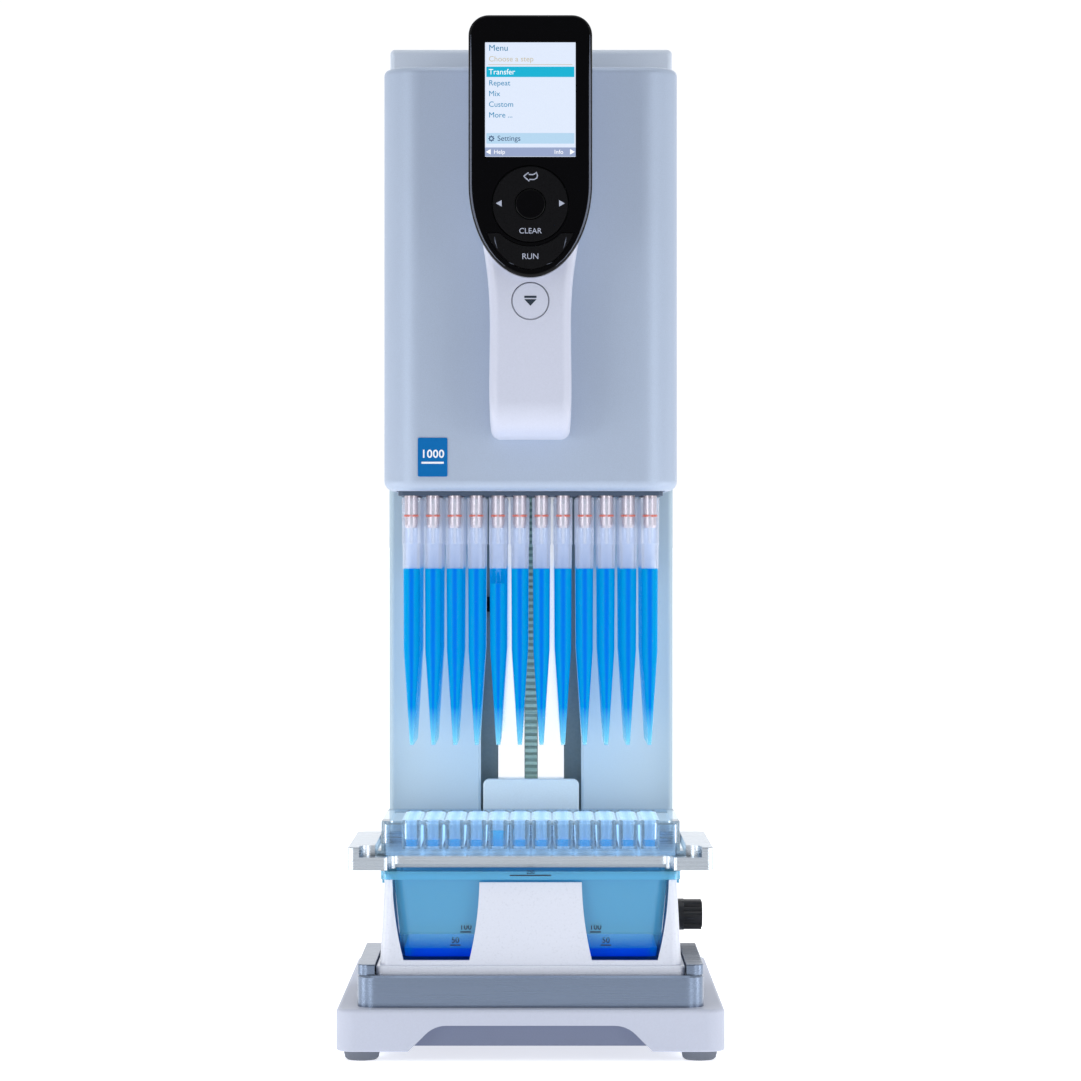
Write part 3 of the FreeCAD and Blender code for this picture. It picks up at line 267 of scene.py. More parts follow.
def clear_plastic(name, tint, body, haze=0.05, edge=0.3, rough=0.05, clear_below=None, glow=0.0,
                  gloss_share=0.8, dense=None, fade=0.0006, wet=None, highlight_streak=0.0):
    """Thin clear plastic: light passes straight through, with some haze that grows towards its edges.
    Below the height clear_below, where liquid wets the wall, the haze fades out over the height fade.
    With dense, the haze is multiplied by that much in the inner rows of wells. With wet, the haze takes
    that colour up to the top of the tips' liquid. With highlight_streak, there is a painted highlight:
    more of the pale, glowing haze in a line down the middle, where the wall faces the eye."""
    material, tree, output = new_material(name)
    through = add(tree, "ShaderNodeBsdfTransparent")
    through.inputs["Color"].default_value = linear(tint)
    shader = add(tree, "ShaderNodeBsdfPrincipled")
    shader.inputs["Base Color"].default_value = linear(body)
    shader.inputs["IOR"].default_value = 1.5
    # The haze glows by glow: painted light, standing in for light that shines through the plastic.
    shader.inputs["Emission Color"].default_value = linear(body)
    shader.inputs["Emission Strength"].default_value = glow
    if wet is not None:
        filled = blended(tree, height_share(tree, TIPS_LOW.z, TIPS_LOW.z + TAIL), TAIL_BLUE, wet)
        toned = blended(tree, height_share(tree, LIQUID_TOP, LIQUID_TOP + fade), filled, body)
        tree.links.new(toned, shader.inputs["Base Color"])
        tree.links.new(toned, shader.inputs["Emission Color"])
    tree.links.new(spread(tree, noise(tree, 160.0), rough, rough + 0.06), shader.inputs["Roughness"])
    normal = bumped(tree, noise(tree, 240.0), 0.06, 0.0002)
    tree.links.new(normal, shader.inputs["Normal"])
    facing = add(tree, "ShaderNodeLayerWeight")
    facing.inputs["Blend"].default_value = 0.3
    haze_share = ranged(tree, facing.outputs["Facing"], 0.0, 1.0, haze, min(1.0, haze + edge))
    # Painted highlight: a pale, glowing line of haze down the middle of the wall.
    if highlight_streak:
        middle = ranged(tree, facing.outputs["Facing"], 0.0, 0.02, highlight_streak, 0.0)
        haze_share = maths(tree, "ADD", haze_share, middle, clamp=True)
    mirror = add(tree, "ShaderNodeFresnel")
    mirror.inputs["IOR"].default_value = 1.45
    gloss_amount = maths(tree, "MULTIPLY", mirror.outputs["Fac"], gloss_share)
    if dense is not None:
        haze_share = denser_inside(tree, haze_share, dense)
    if clear_below is not None:
        haze_share = dry_only(tree, haze_share, clear_below, fade, 0.0)
        gloss_amount = dry_only(tree, gloss_amount, clear_below, fade, 0.1)
    gloss = add(tree, "ShaderNodeBsdfGlossy")
    gloss.inputs["Roughness"].default_value = 0.04
    tree.links.new(normal, gloss.inputs["Normal"])
    hazy = mixed_shaders(tree, haze_share, through.outputs["BSDF"], shader.outputs["BSDF"])
    surfaced = mixed_shaders(tree, gloss_amount, hazy, gloss.outputs["BSDF"])
    tree.links.new(surfaced, output.inputs["Surface"])
    return material


def denser_inside(tree, share, factor):
    """A share that is multiplied away from the front and back rows of the array."""
    distance = maths(tree, "ABSOLUTE", maths(tree, "SUBTRACT", along(tree, "Y"), ARRAY_Y), 0.0)
    inside = ranged(tree, distance, 2.95 * PITCH, 3.05 * PITCH, factor, 1.0)
    return maths(tree, "MULTIPLY", share, inside, clamp=True)


def dry_only(tree, share, level, fade, wet_share):
    """A share that is kept above a height and cut down below it."""
    return maths(tree, "MULTIPLY", share, height_share(tree, level, level + fade, wet_share))


def liquid(name, core, rim, tail, glow, z_low, z_high):
    """Dyed water, deepest in tone where it is thickest. Its tone changes to tail towards z_low. Its
    glow is painted light.
    """
    material, tree, output = new_material(name)
    facing = add(tree, "ShaderNodeLayerWeight")
    facing.inputs["Blend"].default_value = 0.5
    thin = ranged(tree, facing.outputs["Facing"], 0.01, 0.08, 0.0, 1.0)
    toned = blended(tree, height_share(tree, z_low, z_high), tail, blended(tree, thin, core, rim))
    shader = add(tree, "ShaderNodeBsdfPrincipled")
    shader.inputs["IOR"].default_value = 1.33
    shader.inputs["Specular IOR Level"].default_value = 0.05
    shader.inputs["Emission Strength"].default_value = glow
    tree.links.new(toned, shader.inputs["Base Color"])
    tree.links.new(toned, shader.inputs["Emission Color"])
    tree.links.new(spread(tree, noise(tree, 90.0), 0.1, 0.2), shader.inputs["Roughness"])
    tree.links.new(shader.outputs["BSDF"], output.inputs["Surface"])
    return material


def lit(name, rgb, strength=1.0):
    """A patch of the lit screen, with the fine grid of its dots."""
    material, tree, output = new_material(name)
    place = add(tree, "ShaderNodeTexCoord")
    dots = add(tree, "ShaderNodeTexVoronoi")
    dots.inputs["Scale"].default_value = 4200.0
    tree.links.new(place.outputs["Object"], dots.inputs["Vector"])
    base = linear(rgb)
    colour = tinted(tree, dots.outputs["Distance"], base, shade(base, 0.94))
    shader = add(tree, "ShaderNodeBsdfPrincipled")
    shader.inputs["Base Color"].default_value = shade(base, 0.12)
    shader.inputs["Roughness"].default_value = 0.3
    shader.inputs["Emission Strength"].default_value = strength
    tree.links.new(colour, shader.inputs["Emission Color"])
    tree.links.new(shader.outputs["BSDF"], output.inputs["Surface"])
    return material


# ---- Materials ----
HEAD_PAINT = surface("head_metallic_paint", (178, 192, 213), 0.45, metallic=0.25, grain=2600.0,
                     vary=0.05, rough_vary=0.05, bump=0.12, fine=700.0, coat=0.06, coat_rough=0.3)
TOWER_PAINT = surface("tower_paint", (184, 204, 217), 0.5, metallic=0.1, grain=2200.0, vary=0.03,
                      bump=0.15, fine=900.0, coat=0.08, coat_rough=0.3)
# Lighter copies of the tower paint, for the cap, the rear cover and the bracket: painted light.
COVER_PAINTED_LIGHT = surface("cover_paint_with_painted_light", (212, 222, 236), 0.5, metallic=0.1, grain=2200.0, vary=0.03,
                      bump=0.15, fine=900.0, coat=0.08, coat_rough=0.3)
BRACKET_PAINTED_LIGHT = surface("bracket_paint_with_painted_light", (212, 226, 233), 0.5, metallic=0.1, grain=2200.0, vary=0.03,
                        bump=0.15, fine=900.0, coat=0.08, coat_rough=0.3)
BASE_PLASTIC = surface("base_moulded_plastic", (195, 200, 216), 0.45, grain=1500.0, vary=0.02,
                       bump=0.2, fine=2400.0, specular=0.35)
GRIP_PLASTIC = surface("grip_satin_plastic", (207, 211, 228), 0.33, grain=1500.0, vary=0.02, bump=0.12,
                       fine=2400.0, coat=0.2, coat_rough=0.2)
WHITE_PLASTIC = surface("white_moulded_plastic", (224, 228, 240), 0.3, grain=1100.0, vary=0.015,
                        bump=0.1, fine=1600.0, coat=0.2, coat_rough=0.12)
BRUSHED = surface("brushed_aluminium", (204, 212, 220), 0.27, metallic=1.0, grain=60.0,
                  stretch=(0.35, 30, 30), vary=0.05, rough_vary=0.06, bump=0.12)
# A darker copy of the brushed aluminium: painted shade, for the dark surroundings that the block's
# front face reflects.
BLOCK_ALUMINIUM_PAINTED_SHADE = surface("brushed_aluminium_painted_dark_reflection", (122, 135, 155), 0.25, metallic=1.0, grain=60.0,
                        stretch=(0.35, 30, 30), vary=0.05, rough_vary=0.06, bump=0.12)
MACHINED = surface("machined_steel", (186, 190, 196), 0.28, metallic=1.0, grain=50.0,
                   stretch=(1, 1, 24), vary=0.05, rough_vary=0.06)
NOZZLE_STEEL = surface("nozzle_satin_steel", (214, 203, 209), 0.32, metallic=0.75, grain=90.0,
                       stretch=(30, 30, 1), vary=0.08, rough_vary=0.05)
POLISHED = surface("polished_steel", (250, 251, 253), 0.04, metallic=1.0, grain=80.0,
                   stretch=(6, 6, 0.4), vary=0.01, rough_vary=0.015, bump=0.0)
# The rails' glow is painted light, which keeps them white in the slot's shade.
RAIL_STEEL = surface("rail_polished_steel_painted_glow", (252, 253, 255), 0.08, metallic=0.85, grain=80.0,
                     stretch=(6, 6, 0.4), vary=0.01, rough_vary=0.015, bump=0.0, glow=0.35)
PAN = surface("pan_satin_metal", (122, 130, 154), 0.45, metallic=0.5, grain=1800.0, vary=0.04)
# A darker copy of the pan metal: painted shade, for the line of shade under the head.
STRIPPER_PAINTED_SHADE = surface("stripper_metal_painted_shade", (78, 92, 112), 0.45, metallic=0.4, grain=1800.0,
                         vary=0.04)
RUBBER = surface("foot_rubber", (112, 117, 128), 0.7, grain=1400.0, vary=0.05, rough_vary=0.08,
                 bump=0.4, specular=0.3)
# The belt's darker bands are painted shade between its teeth.
BELT = surface("belt_rubber", (160, 188, 178), 0.6, grain=900.0, vary=0.08, bump=0.4, specular=0.35,
               rib_shade_spacing=2.8 * MM)
BLACK_GLOSS = surface("black_gloss_plastic", (2, 2, 4), 0.07, grain=300.0, vary=0.1, rough_vary=0.02,
                      bump=0.01, specular=0.18)
BLACK_SATIN = surface("black_satin_plastic", (7, 7, 10), 0.3, grain=1800.0, vary=0.1, bump=0.03,
                      specular=0.2)
BLACK_MOULDED = surface("black_moulded_plastic", (16, 16, 19), 0.38, grain=1600.0, vary=0.1, bump=0.4,
                        fine=1100.0)
BRONZE = surface("sintered_bronze", (172, 128, 78), 0.42, metallic=1.0, grain=2500.0, vary=0.12,
                 bump=0.3)
ORANGE = surface("orange_seal", (240, 92, 48), 0.4, grain=900.0, vary=0.04)
BOARD = surface("circuit_board", (26, 84, 56), 0.4, grain=320.0, vary=0.14, coat=0.4)
DARK_METAL = surface("dark_motor_paint", (40, 42, 46), 0.42, metallic=0.3, grain=1500.0, vary=0.08)
# The spine's metal is darkened: painted shade inside the tower's slot.
SLOT_PAINTED_SHADE = surface("slot_metal_painted_shade", (136, 154, 162), 0.5, metallic=0.4, grain=900.0, vary=0.06)
BLUE_LABEL = surface("blue_printed_label", (0, 106, 176), 0.45, grain=1600.0, vary=0.03, specular=0.15)
PRINT_WHITE = surface("white_print", (246, 248, 252), 0.45, grain=1900.0, vary=0.02)
PRINT_GREY = surface("pale_grey_print", (178, 184, 202), 0.4, grain=1900.0, vary=0.03)
# Painted highlights on rounded edges, on the black front and its keys.
GLINT = surface("painted_edge_glint", (116, 122, 138), 0.3, metallic=0.3, grain=1900.0, vary=0.06)
PRINT_DARK = surface("dark_print", (28, 42, 58), 0.5, grain=1900.0, vary=0.05)
# The glow on the tips, the plate and the liner is painted light. The pale line of haze down the front
# tips is a painted highlight.
TIP_PLASTIC = clear_plastic("tip_clear_plastic", (250, 252, 255), (210, 217, 232), 0.07, 0.34,
                            clear_below=LIQUID_TOP, glow=0.3, gloss_share=0.3, highlight_streak=0.3)
REAR_TIP_PLASTIC = clear_plastic("tip_natural_plastic", (244, 249, 254), (186, 198, 220), 0.5, 0.2,
                                 glow=0.5, wet=(0, 172, 232))
PLATE_PLASTIC = clear_plastic("plate_clear_plastic", (242, 249, 255), (206, 232, 248), 0.02, 0.26,
                              glow=0.45, dense=20.0)
LINER_PLASTIC = clear_plastic("liner_blue_plastic", (190, 228, 248), (108, 196, 230), 0.4, 0.3,
                              clear_below=POOL_TOP, fade=7.0 * MM, glow=0.2)
# The liquids' glow is painted light: they glow though they are no lamp.
TIP_LIQUID = liquid("blue_liquid_in_tips", (0, 112, 212), (0, 146, 206), TAIL_BLUE, glow=0.26,
                    z_low=TIPS_LOW.z, z_high=TIPS_LOW.z + TAIL)
WELL_LIQUID = liquid("blue_liquid_in_wells", (0, 168, 214), (0, 168, 214), (0, 146, 208), glow=0.7,
                     z_low=0.0872, z_high=0.0935)
POOL_LIQUID = liquid("blue_liquid_in_trough", (0, 92, 228), (0, 140, 228), (0, 68, 222), glow=0.45,
                     z_low=0.040, z_high=0.0445)

NODE_MATERIALS = {
    "base_cover": BASE_PLASTIC, "base_pan": PAN, "rubber_feet": RUBBER, "deck_screws": MACHINED,
    "lower_deck": BLOCK_ALUMINIUM_PAINTED_SHADE, "upper_deck": BRUSHED, "deck_rods": POLISHED, "deck_bushings": BRONZE,
    "reservoir_base": WHITE_PLASTIC, "reservoir_liner": LINER_PLASTIC, "microplate": PLATE_PLASTIC,
    "tower_front_left": TOWER_PAINT, "tower_front_right": TOWER_PAINT, "tower_rear_cover": COVER_PAINTED_LIGHT,
    "tower_cap": COVER_PAINTED_LIGHT, "deck_bracket": BRACKET_PAINTED_LIGHT, "tower_screws": MACHINED,
    "power_inlet": BLACK_MOULDED, "data_port": MACHINED, "power_rocker": BLACK_MOULDED,
    "control_board": BOARD, "spine": SLOT_PAINTED_SHADE, "guide_rails": RAIL_STEEL, "drive_belt": BELT,
    "drive_pulley": MACHINED, "idler_pulley": MACHINED, "idler_axle": MACHINED,
    "drive_shaft": POLISHED, "height_knob": BLACK_MOULDED, "lift_motor": DARK_METAL,
    "end_stop_sensor": BLACK_SATIN, "head_cover": HEAD_PAINT, "head_back_plate": MACHINED,
    "carriage": BRUSHED, "bearing_blocks": MACHINED, "belt_clamp": BRUSHED, "nozzle_plate": MACHINED,
    "nozzles": NOZZLE_STEEL, "nozzle_o_rings": ORANGE, "cylinder_block": BRUSHED,
    "guide_posts": POLISHED, "motor_plate": MACHINED, "piston_motor": DARK_METAL,
    "head_board": BOARD, "piston_plate": BRUSHED,
    "pistons": MACHINED, "screw_nut": BRONZE, "lead_screw": POLISHED, "stripper_plate": STRIPPER_PAINTED_SHADE,
    "volume_label": BLUE_LABEL, "head_screws": MACHINED, "handset_shell": GRIP_PLASTIC,
    "handset_fascia": BLACK_GLOSS, "display_module": BLACK_GLOSS, "touch_wheel": BLACK_SATIN,
    "ok_button": BLACK_GLOSS, "run_button": BLACK_SATIN, "eject_button": GRIP_PLASTIC,
    "handset_board": BOARD, "pipette_tips": TIP_PLASTIC,
}
for node_name, node_material in NODE_MATERIALS.items():
    for node_slot in nodes[node_name].material_slots:
        node_slot.material = node_material


# ---- Mesh helpers ----
def piece(name, points, faces, material, body, slot=None, smooth=False):
    """A mesh piece that rides on a CAD body."""
    mesh = bpy.data.meshes.new(name)
    mesh.from_pydata([tuple(p) for p in points], [], faces)
    mesh.validate()
    made = bpy.data.objects.new(name, mesh)
    bpy.context.scene.collection.objects.link(made)
    mesh.materials.append(material)
    shell = bmesh.new()
    shell.from_mesh(mesh)
    bmesh.ops.recalc_face_normals(shell, faces=shell.faces)
    shell.to_mesh(mesh)
    shell.free()
    if smooth:
        mesh.shade_smooth()
        mesh.set_sharp_from_angle(angle=SMOOTH_BELOW)
    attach(made, body)
    return made


def lathe(profile, steps=24, capped=False):
    """A surface turned about Z from (radius, height) points, open at its ends or capped."""
    points, faces = [], []
    for radius, height in profile:
        for n in range(steps):
            angle = 2 * math.pi * n / steps
            points.append((radius * math.cos(angle), radius * math.sin(angle), height))
    rings = len(profile)
    for ring in range(rings - 1):
        after = ring + 1
        for n in range(steps):
            m = (n + 1) % steps
            faces.append((ring * steps + n, ring * steps + m, after * steps + m, after * steps + n))
    if capped:
        faces.append(tuple(range(steps)))
        faces.append(tuple(range((rings - 1) * steps, rings * steps)))
    return points, faces


def repeated(shape, places):
    """One shape copied to many places, as one list of points and faces."""
    points, faces = [], []
    for place in places:
        start = len(points)
        points += [Vector(p) + Vector(place) for p in shape[0]]
        faces += [tuple(i + start for i in face) for face in shape[1]]
    return points, faces


def joined(shapes):
    """Several shapes as one list of points and faces."""
    points, faces = [], []
    for shape in shapes:
        start = len(points)
        points += list(shape[0])
        faces += [tuple(i + start for i in face) for face in shape[1]]
    return points, faces


def slab(outline, y0, y1):
    """A flat shape in the XZ plane, given as (x, z) points, with a thickness in depth."""
    count = len(outline)
    points = [(x, y0, z) for x, z in outline] + [(x, y1, z) for x, z in outline]
    faces = [tuple(range(count)), tuple(range(2 * count - 1, count - 1, -1))]
    for n in range(count):
        m = (n + 1) % count
        faces.append((n, m, m + count, n + count))
    return points, faces


def rounded(x0, x1, z0, z1, r, steps=5):
    """The outline of a rectangle with rounded corners."""
    outline = []
    corners = [(x1 - r, z1 - r, 0), (x0 + r, z1 - r, 90), (x0 + r, z0 + r, 180), (x1 - r, z0 + r, 270)]
    for cx, cz, start in corners:
        for n in range(steps + 1):
            angle = math.radians(start + 90 * n / steps)
            outline.append((cx + r * math.cos(angle), cz + r * math.sin(angle)))
    return outline


def arc_band(cx, cz, r0, r1, start, end, y0, y1, steps=40):
    """A curved band between two radii, from one angle to another, in degrees."""
    angles = [math.radians(start + (end - start) * n / steps) for n in range(steps + 1)]
    outer = [(cx + r1 * math.cos(angle), cz + r1 * math.sin(angle)) for angle in angles]
    inner = [(cx + r0 * math.cos(angle), cz + r0 * math.sin(angle)) for angle in angles]
    return joined([slab([outer[n], outer[n + 1], inner[n + 1], inner[n]], y0, y1)
                   for n in range(steps)])


def strip(line, width, y0, y1, tapered=True):
    """A narrow band that follows a line of (x, z) points, and may taper off at both ends."""
    last = len(line) - 1
    sides = []
    for n, (x, z) in enumerate(line):
        (xa, za), (xb, zb) = line[max(n - 1, 0)], line[min(n + 1, last)]
        length = math.hypot(xb - xa, zb - za)
        half = width / 2 * (min(1.0, 0.15 + 4 * min(n, last - n) / last) if tapered else 1.0)
        across = ((zb - za) / length * half, (xa - xb) / length * half)
        sides.append(((x + across[0], z + across[1]), (x - across[0], z - across[1])))
    return joined([slab([a, c, d, b], y0, y1) for (a, b), (c, d) in zip(sides, sides[1:])])


def lettering(name, words, size, x, z, y, material, body, align="CENTER", thick=0.08 * MM,
              wide=1.0, bold=0.0):
    """Raised print that faces the front, made into a mesh. Its letters are spaced by wide and made
    fatter by bold."""
    curve = bpy.data.curves.new(name, "FONT")
    curve.body = words
    curve.size = size
    curve.align_x = align
    curve.align_y = "CENTER"
    curve.extrude = thick
    curve.space_character = wide
    curve.offset = bold
    holder = bpy.data.objects.new(name + "_curve", curve)
    bpy.context.scene.collection.objects.link(holder)
    bpy.context.view_layer.update()
    mesh = bpy.data.meshes.new_from_object(holder.evaluated_get(bpy.context.evaluated_depsgraph_get()))
    bpy.data.objects.remove(holder)
    mesh.transform(Matrix.Translation((x, y, z)) @ Matrix.Rotation(math.pi / 2, 4, "X"))
    mesh.materials.clear()
    mesh.materials.append(material)
    made = bpy.data.objects.new(name, mesh)
    bpy.context.scene.collection.objects.link(made)
    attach(made, body)
    return made


def channel_places():
    """Where each channel is, front row first, from the left."""
    for row in range(ROWS):
        for column in range(COLUMNS):
            x = (column - (COLUMNS - 1) / 2) * PITCH
            y = ARRAY_Y + (row - (ROWS - 1) / 2) * PITCH
            yield (x, y, 0.0)


# ---- Tips and their liquid ----
def tip_profile():
    """A tip's outside, from its mouth down, as (radius, height)."""
    top, low = TIPS_HIGH.z, TIPS_LOW.z
    outside = [(3.3, top), (3.75, top), (3.9, top - 0.4 * MM), (3.9, top - 3.0 * MM),
               (3.82, top - 3.3 * MM), (3.82, TIP_STEP + 1.2 * MM), (3.9, TIP_STEP + 0.6 * MM),
               (3.9, TIP_STEP + 0.1 * MM), (3.62, TIP_STEP - 0.3 * MM), (3.4, TIP_SHOULDER),
               (2.02, low + 18 * MM), (1.0, low + 1.2 * MM), (0.85, low), (0.5, low)]
    return [(r * MM, z) for r, z in outside]


def liquid_profile(top):
    """Liquid inside one tip, filling it as it looks through the wall, with a meniscus on top."""
    step_share = (top - TIP_SHOULDER) / (TIP_STEP - TIP_SHOULDER)
    wall = [(0.55 * MM, TIPS_LOW.z + 1.6 * MM), (0.75 * MM, TIPS_LOW.z + 3.0 * MM),
            (1.72 * MM, TIPS_LOW.z + 18.0 * MM), (3.2 * MM, TIP_SHOULDER),
            ((3.2 + 0.18 * step_share) * MM, top)]
    rim = wall[-1][0]
    return wall + [(rim * 0.7, top - 0.55 * MM), (rim * 0.3, top - 0.8 * MM)]


def tips():
    """All the tips, with liquid in them. Both rows stand in for the one CAD node."""
    tip = lathe(tip_profile())
    front = piece("clear_tips_front_row", *repeated(tip, places[:COLUMNS]), TIP_PLASTIC, "stripper",
                  "tip_clear", smooth=True)
    rear = piece("clear_tips_other_rows", *repeated(tip, places[COLUMNS:]), REAR_TIP_PLASTIC,
                 "stripper", "tip_clear", smooth=True)
    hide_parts("pipette_tips")
    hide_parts("pipette_tips")
    full = lathe(liquid_profile(LIQUID_TOP), 20, capped=True)
    short = lathe(liquid_profile(LIQUID_TOP - 6 * MM), 20, capped=True)
    others = places[:ODD_ONE] + places[ODD_ONE + 1:]
    drawn = joined([repeated(full, others), repeated(short, [places[ODD_ONE]])])
    piece("liquid_in_tips", *drawn, TIP_LIQUID, "stripper", "tip_clear", smooth=True)


places = list(channel_places())
tips()


# ---- Liquid in the microplate and the trough ----
def well_liquid(depth):
    """The liquid in one well, with a meniscus on top. The well widens upwards."""
    foot = PLATE_HIGH.z - WELL_DEPTH + 0.05 * MM
    r0, r1 = 3.12 * MM, (3.12 + 0.24 * depth / WELL_DEPTH) * MM
    profile = [(r0, foot), (r1, foot + depth), (r1 * 0.82, foot + depth - 0.35 * MM),
               (r1 * 0.4, foot + depth - 0.5 * MM)]
    return lathe(profile, 20, capped=True)


def wells():
    """Every well has a little, by an amount that varies, and one has more."""
    filled = []
    for index, place in enumerate(places):
        depth = (2.2 + 0.5 * random.random()) * MM
        if index == ODD_ONE:
            depth = 6.2 * MM
        filled.append(repeated(well_liquid(depth), [place]))
    piece("liquid_in_wells", *joined(filled), WELL_LIQUID, "plate", "plate_clear", smooth=True)


wells()


def pool():
    """The shallow liquid in the trough, with a raised edge where it wets the wall."""
    foot, depth = LINER_LOW.z + 1.45 * MM, 3.4 * MM
    rings = [(52.2, 31.6, 0.0), (52.5, 31.9, depth), (51.4, 30.8, depth - 0.5 * MM)]
    points, faces = [], []
    for hx, hy, z in rings:
        outline = rounded(-hx * MM, hx * MM, -hy * MM, hy * MM, 4 * MM)
        points += [(x, ARRAY_Y + y, foot + z) for x, y in outline]
    count = len(points) // 3
    for start, after in ((0, count), (count, 2 * count)):
        for n in range(count):
            m = (n + 1) % count
            faces.append((start + n, start + m, after + m, after + n))
    faces.append(tuple(range(count)))
    faces.append(tuple(range(2 * count, 3 * count)))
    return points, faces


piece("liquid_in_trough", *pool(), POOL_LIQUID, "reservoir", "liner_clear")


# ---- Trough graduations ----
def front_of_trough(z):
    """How far forward the trough's sloping front wall is at a height."""
    share = (z - LINER_LOW.z) / (LINER_HIGH.z - LINER_LOW.z)
    return ARRAY_Y - (33.0 + 3.2 * share) * MM - 0.05 * MM


def graduations():
    """A line and a number at two heights on both sides of the trough, and one on its lip."""
    lines, depth = [], 0.1 * MM

    def line(x0, x1, z, back):
        outline = rounded(x0, x1, z - 0.25 * MM, z + 0.25 * MM, 0.2 * MM, 2)
        lines.append(slab(outline, back - depth, back))

    for height, x0, x1, words in ((45.9, 29.0, 33.4, "50"), (51.4, 24.6, 29.2, "100")):
        z = height * MM
        back = front_of_trough(z)
        for side in (-1, 1):
            line(*sorted((side * x0 * MM, side * x1 * MM)), z, back)
            lettering(f"mark_{words}_{'left' if side < 0 else 'right'}", words, 3.3 * MM,
                      side * (x0 + x1) / 2 * MM, z + 2.0 * MM, back - depth, PRINT_DARK, "reservoir",
                      bold=0.05 * MM)
    z = 75.4 * MM
    back = LINER_LOW.y - 0.02 * MM
    line(-8.6 * MM, 8.6 * MM, z, back)
    lettering("mark_250", "250", 2.3 * MM, 0.0, z + 1.35 * MM, back - depth, PRINT_DARK, "reservoir")
    piece("graduation_lines", *joined(lines), PRINT_DARK, "reservoir", "liner_clear")


graduations()


# ---- Screen ----
def screen_contents():
    """A plain menu: a title, a marked row, other rows, a settings band and a footer."""
    width = SCREEN_HIGH.x - SCREEN_LOW.x
    height = SCREEN_HIGH.z - SCREEN_LOW.z
    left, top = SCREEN_LOW.x, SCREEN_HIGH.z
    y = SCREEN_LOW.y
    colours = {
        "back": (217, 227, 244), "teal": (0, 172, 205), "words": (20, 132, 176),
        "title": (0, 116, 158), "warm": (196, 186, 160), "band": (176, 208, 232),
        "foot": (146, 160, 194), "white": (252, 253, 255), "dark": (44, 70, 110),
    }
    shown = {key: lit("screen_" + key, rgb) for key, rgb in colours.items()}

    def patch(name, key, a, b, c, d, layer=1):
        """A bar from share a to b of the width and c to d of the height, counted from the top left."""
        outline = rounded(left + a * width, left + b * width, top - d * height, top - c * height,
                          0.2 * MM, 2)
        front = y - layer * LAYER
        piece(name, *slab(outline, front, front + 0.05 * MM), shown[key], "head", "screen")

    def row(name, words, key, share, size=3.1, at=0.045):
        """Words that start at a share of the width, at a share of the height from the top."""
        lettering(name, words, size * MM, left + at * width, top - share * height, y - SCREEN_WORDS,
                  shown[key], "head", align="LEFT", thick=0.03 * MM)

    def icon(name, outline, key):
        piece(name, *slab(outline, y - SCREEN_WORDS, y - 0.12 * MM), shown[key], "head", "screen")

    patch("screen_back", "back", 0.006, 0.994, 0.0045, 0.9955)
    patch("screen_marked_row", "teal", 0.02, 0.98, 0.215, 0.305, 2)
    patch("screen_band", "band", 0.02, 0.98, 0.79, 0.882, 2)
    patch("screen_foot", "foot", 0.006, 0.994, 0.915, 0.992, 2)
    patch("screen_rule", "warm", 0.04, 0.96, 0.195, 0.2, 2)
    row("screen_title", "Menu", "title", 0.055, 3.5)
    row("screen_hint", "Choose a step", "warm", 0.15)
    row("screen_row_1", "Transfer", "white", 0.262)
    for n, words in enumerate(("Repeat", "Mix", "Custom", "More ...")):
        row(f"screen_row_{n + 2}", words, "words", 0.358 + n * 0.0925)
    row("screen_settings", "Settings", "dark", 0.838, 3.0, 0.14)
    row("screen_help", "Help", "white", 0.955, 2.4, 0.1)
    row("screen_info", "Info", "white", 0.955, 2.4, 0.76)
    gear_x, gear_z = left + 0.075 * width, top - 0.838 * height
    icon("screen_gear", gear_outline(gear_x, gear_z, 1.25 * MM), "dark")
    hole = gear_outline(gear_x, gear_z, 0.62 * MM)
    piece("screen_gear_hole", *slab(hole, y - 0.24 * MM, y - SCREEN_WORDS), shown["band"], "head",
          "screen")
    for name, x, turn in (("screen_arrow_left", 0.045, -1), ("screen_arrow_right", 0.955, 1)):
        cx, cz = left + x * width, top - 0.953 * height
        point, tail = cx + turn * 1.1 * MM, cx - turn * 0.8 * MM
        icon(name, [(point, cz), (tail, cz + 1.1 * MM), (tail, cz - 1.1 * MM)], "white")


def gear_outline(cx, cz, r, teeth=8):
    """A small gear wheel, as (x, z) points."""
    outline = []
    for n in range(teeth * 4):
        angle = 2 * math.pi * (n - 0.5) / (teeth * 4)
        reach = r if n % 4 in (0, 1) else r * 0.74
        outline.append((cx + reach * math.cos(angle), cz + reach * math.sin(angle)))
    return outline


screen_contents()


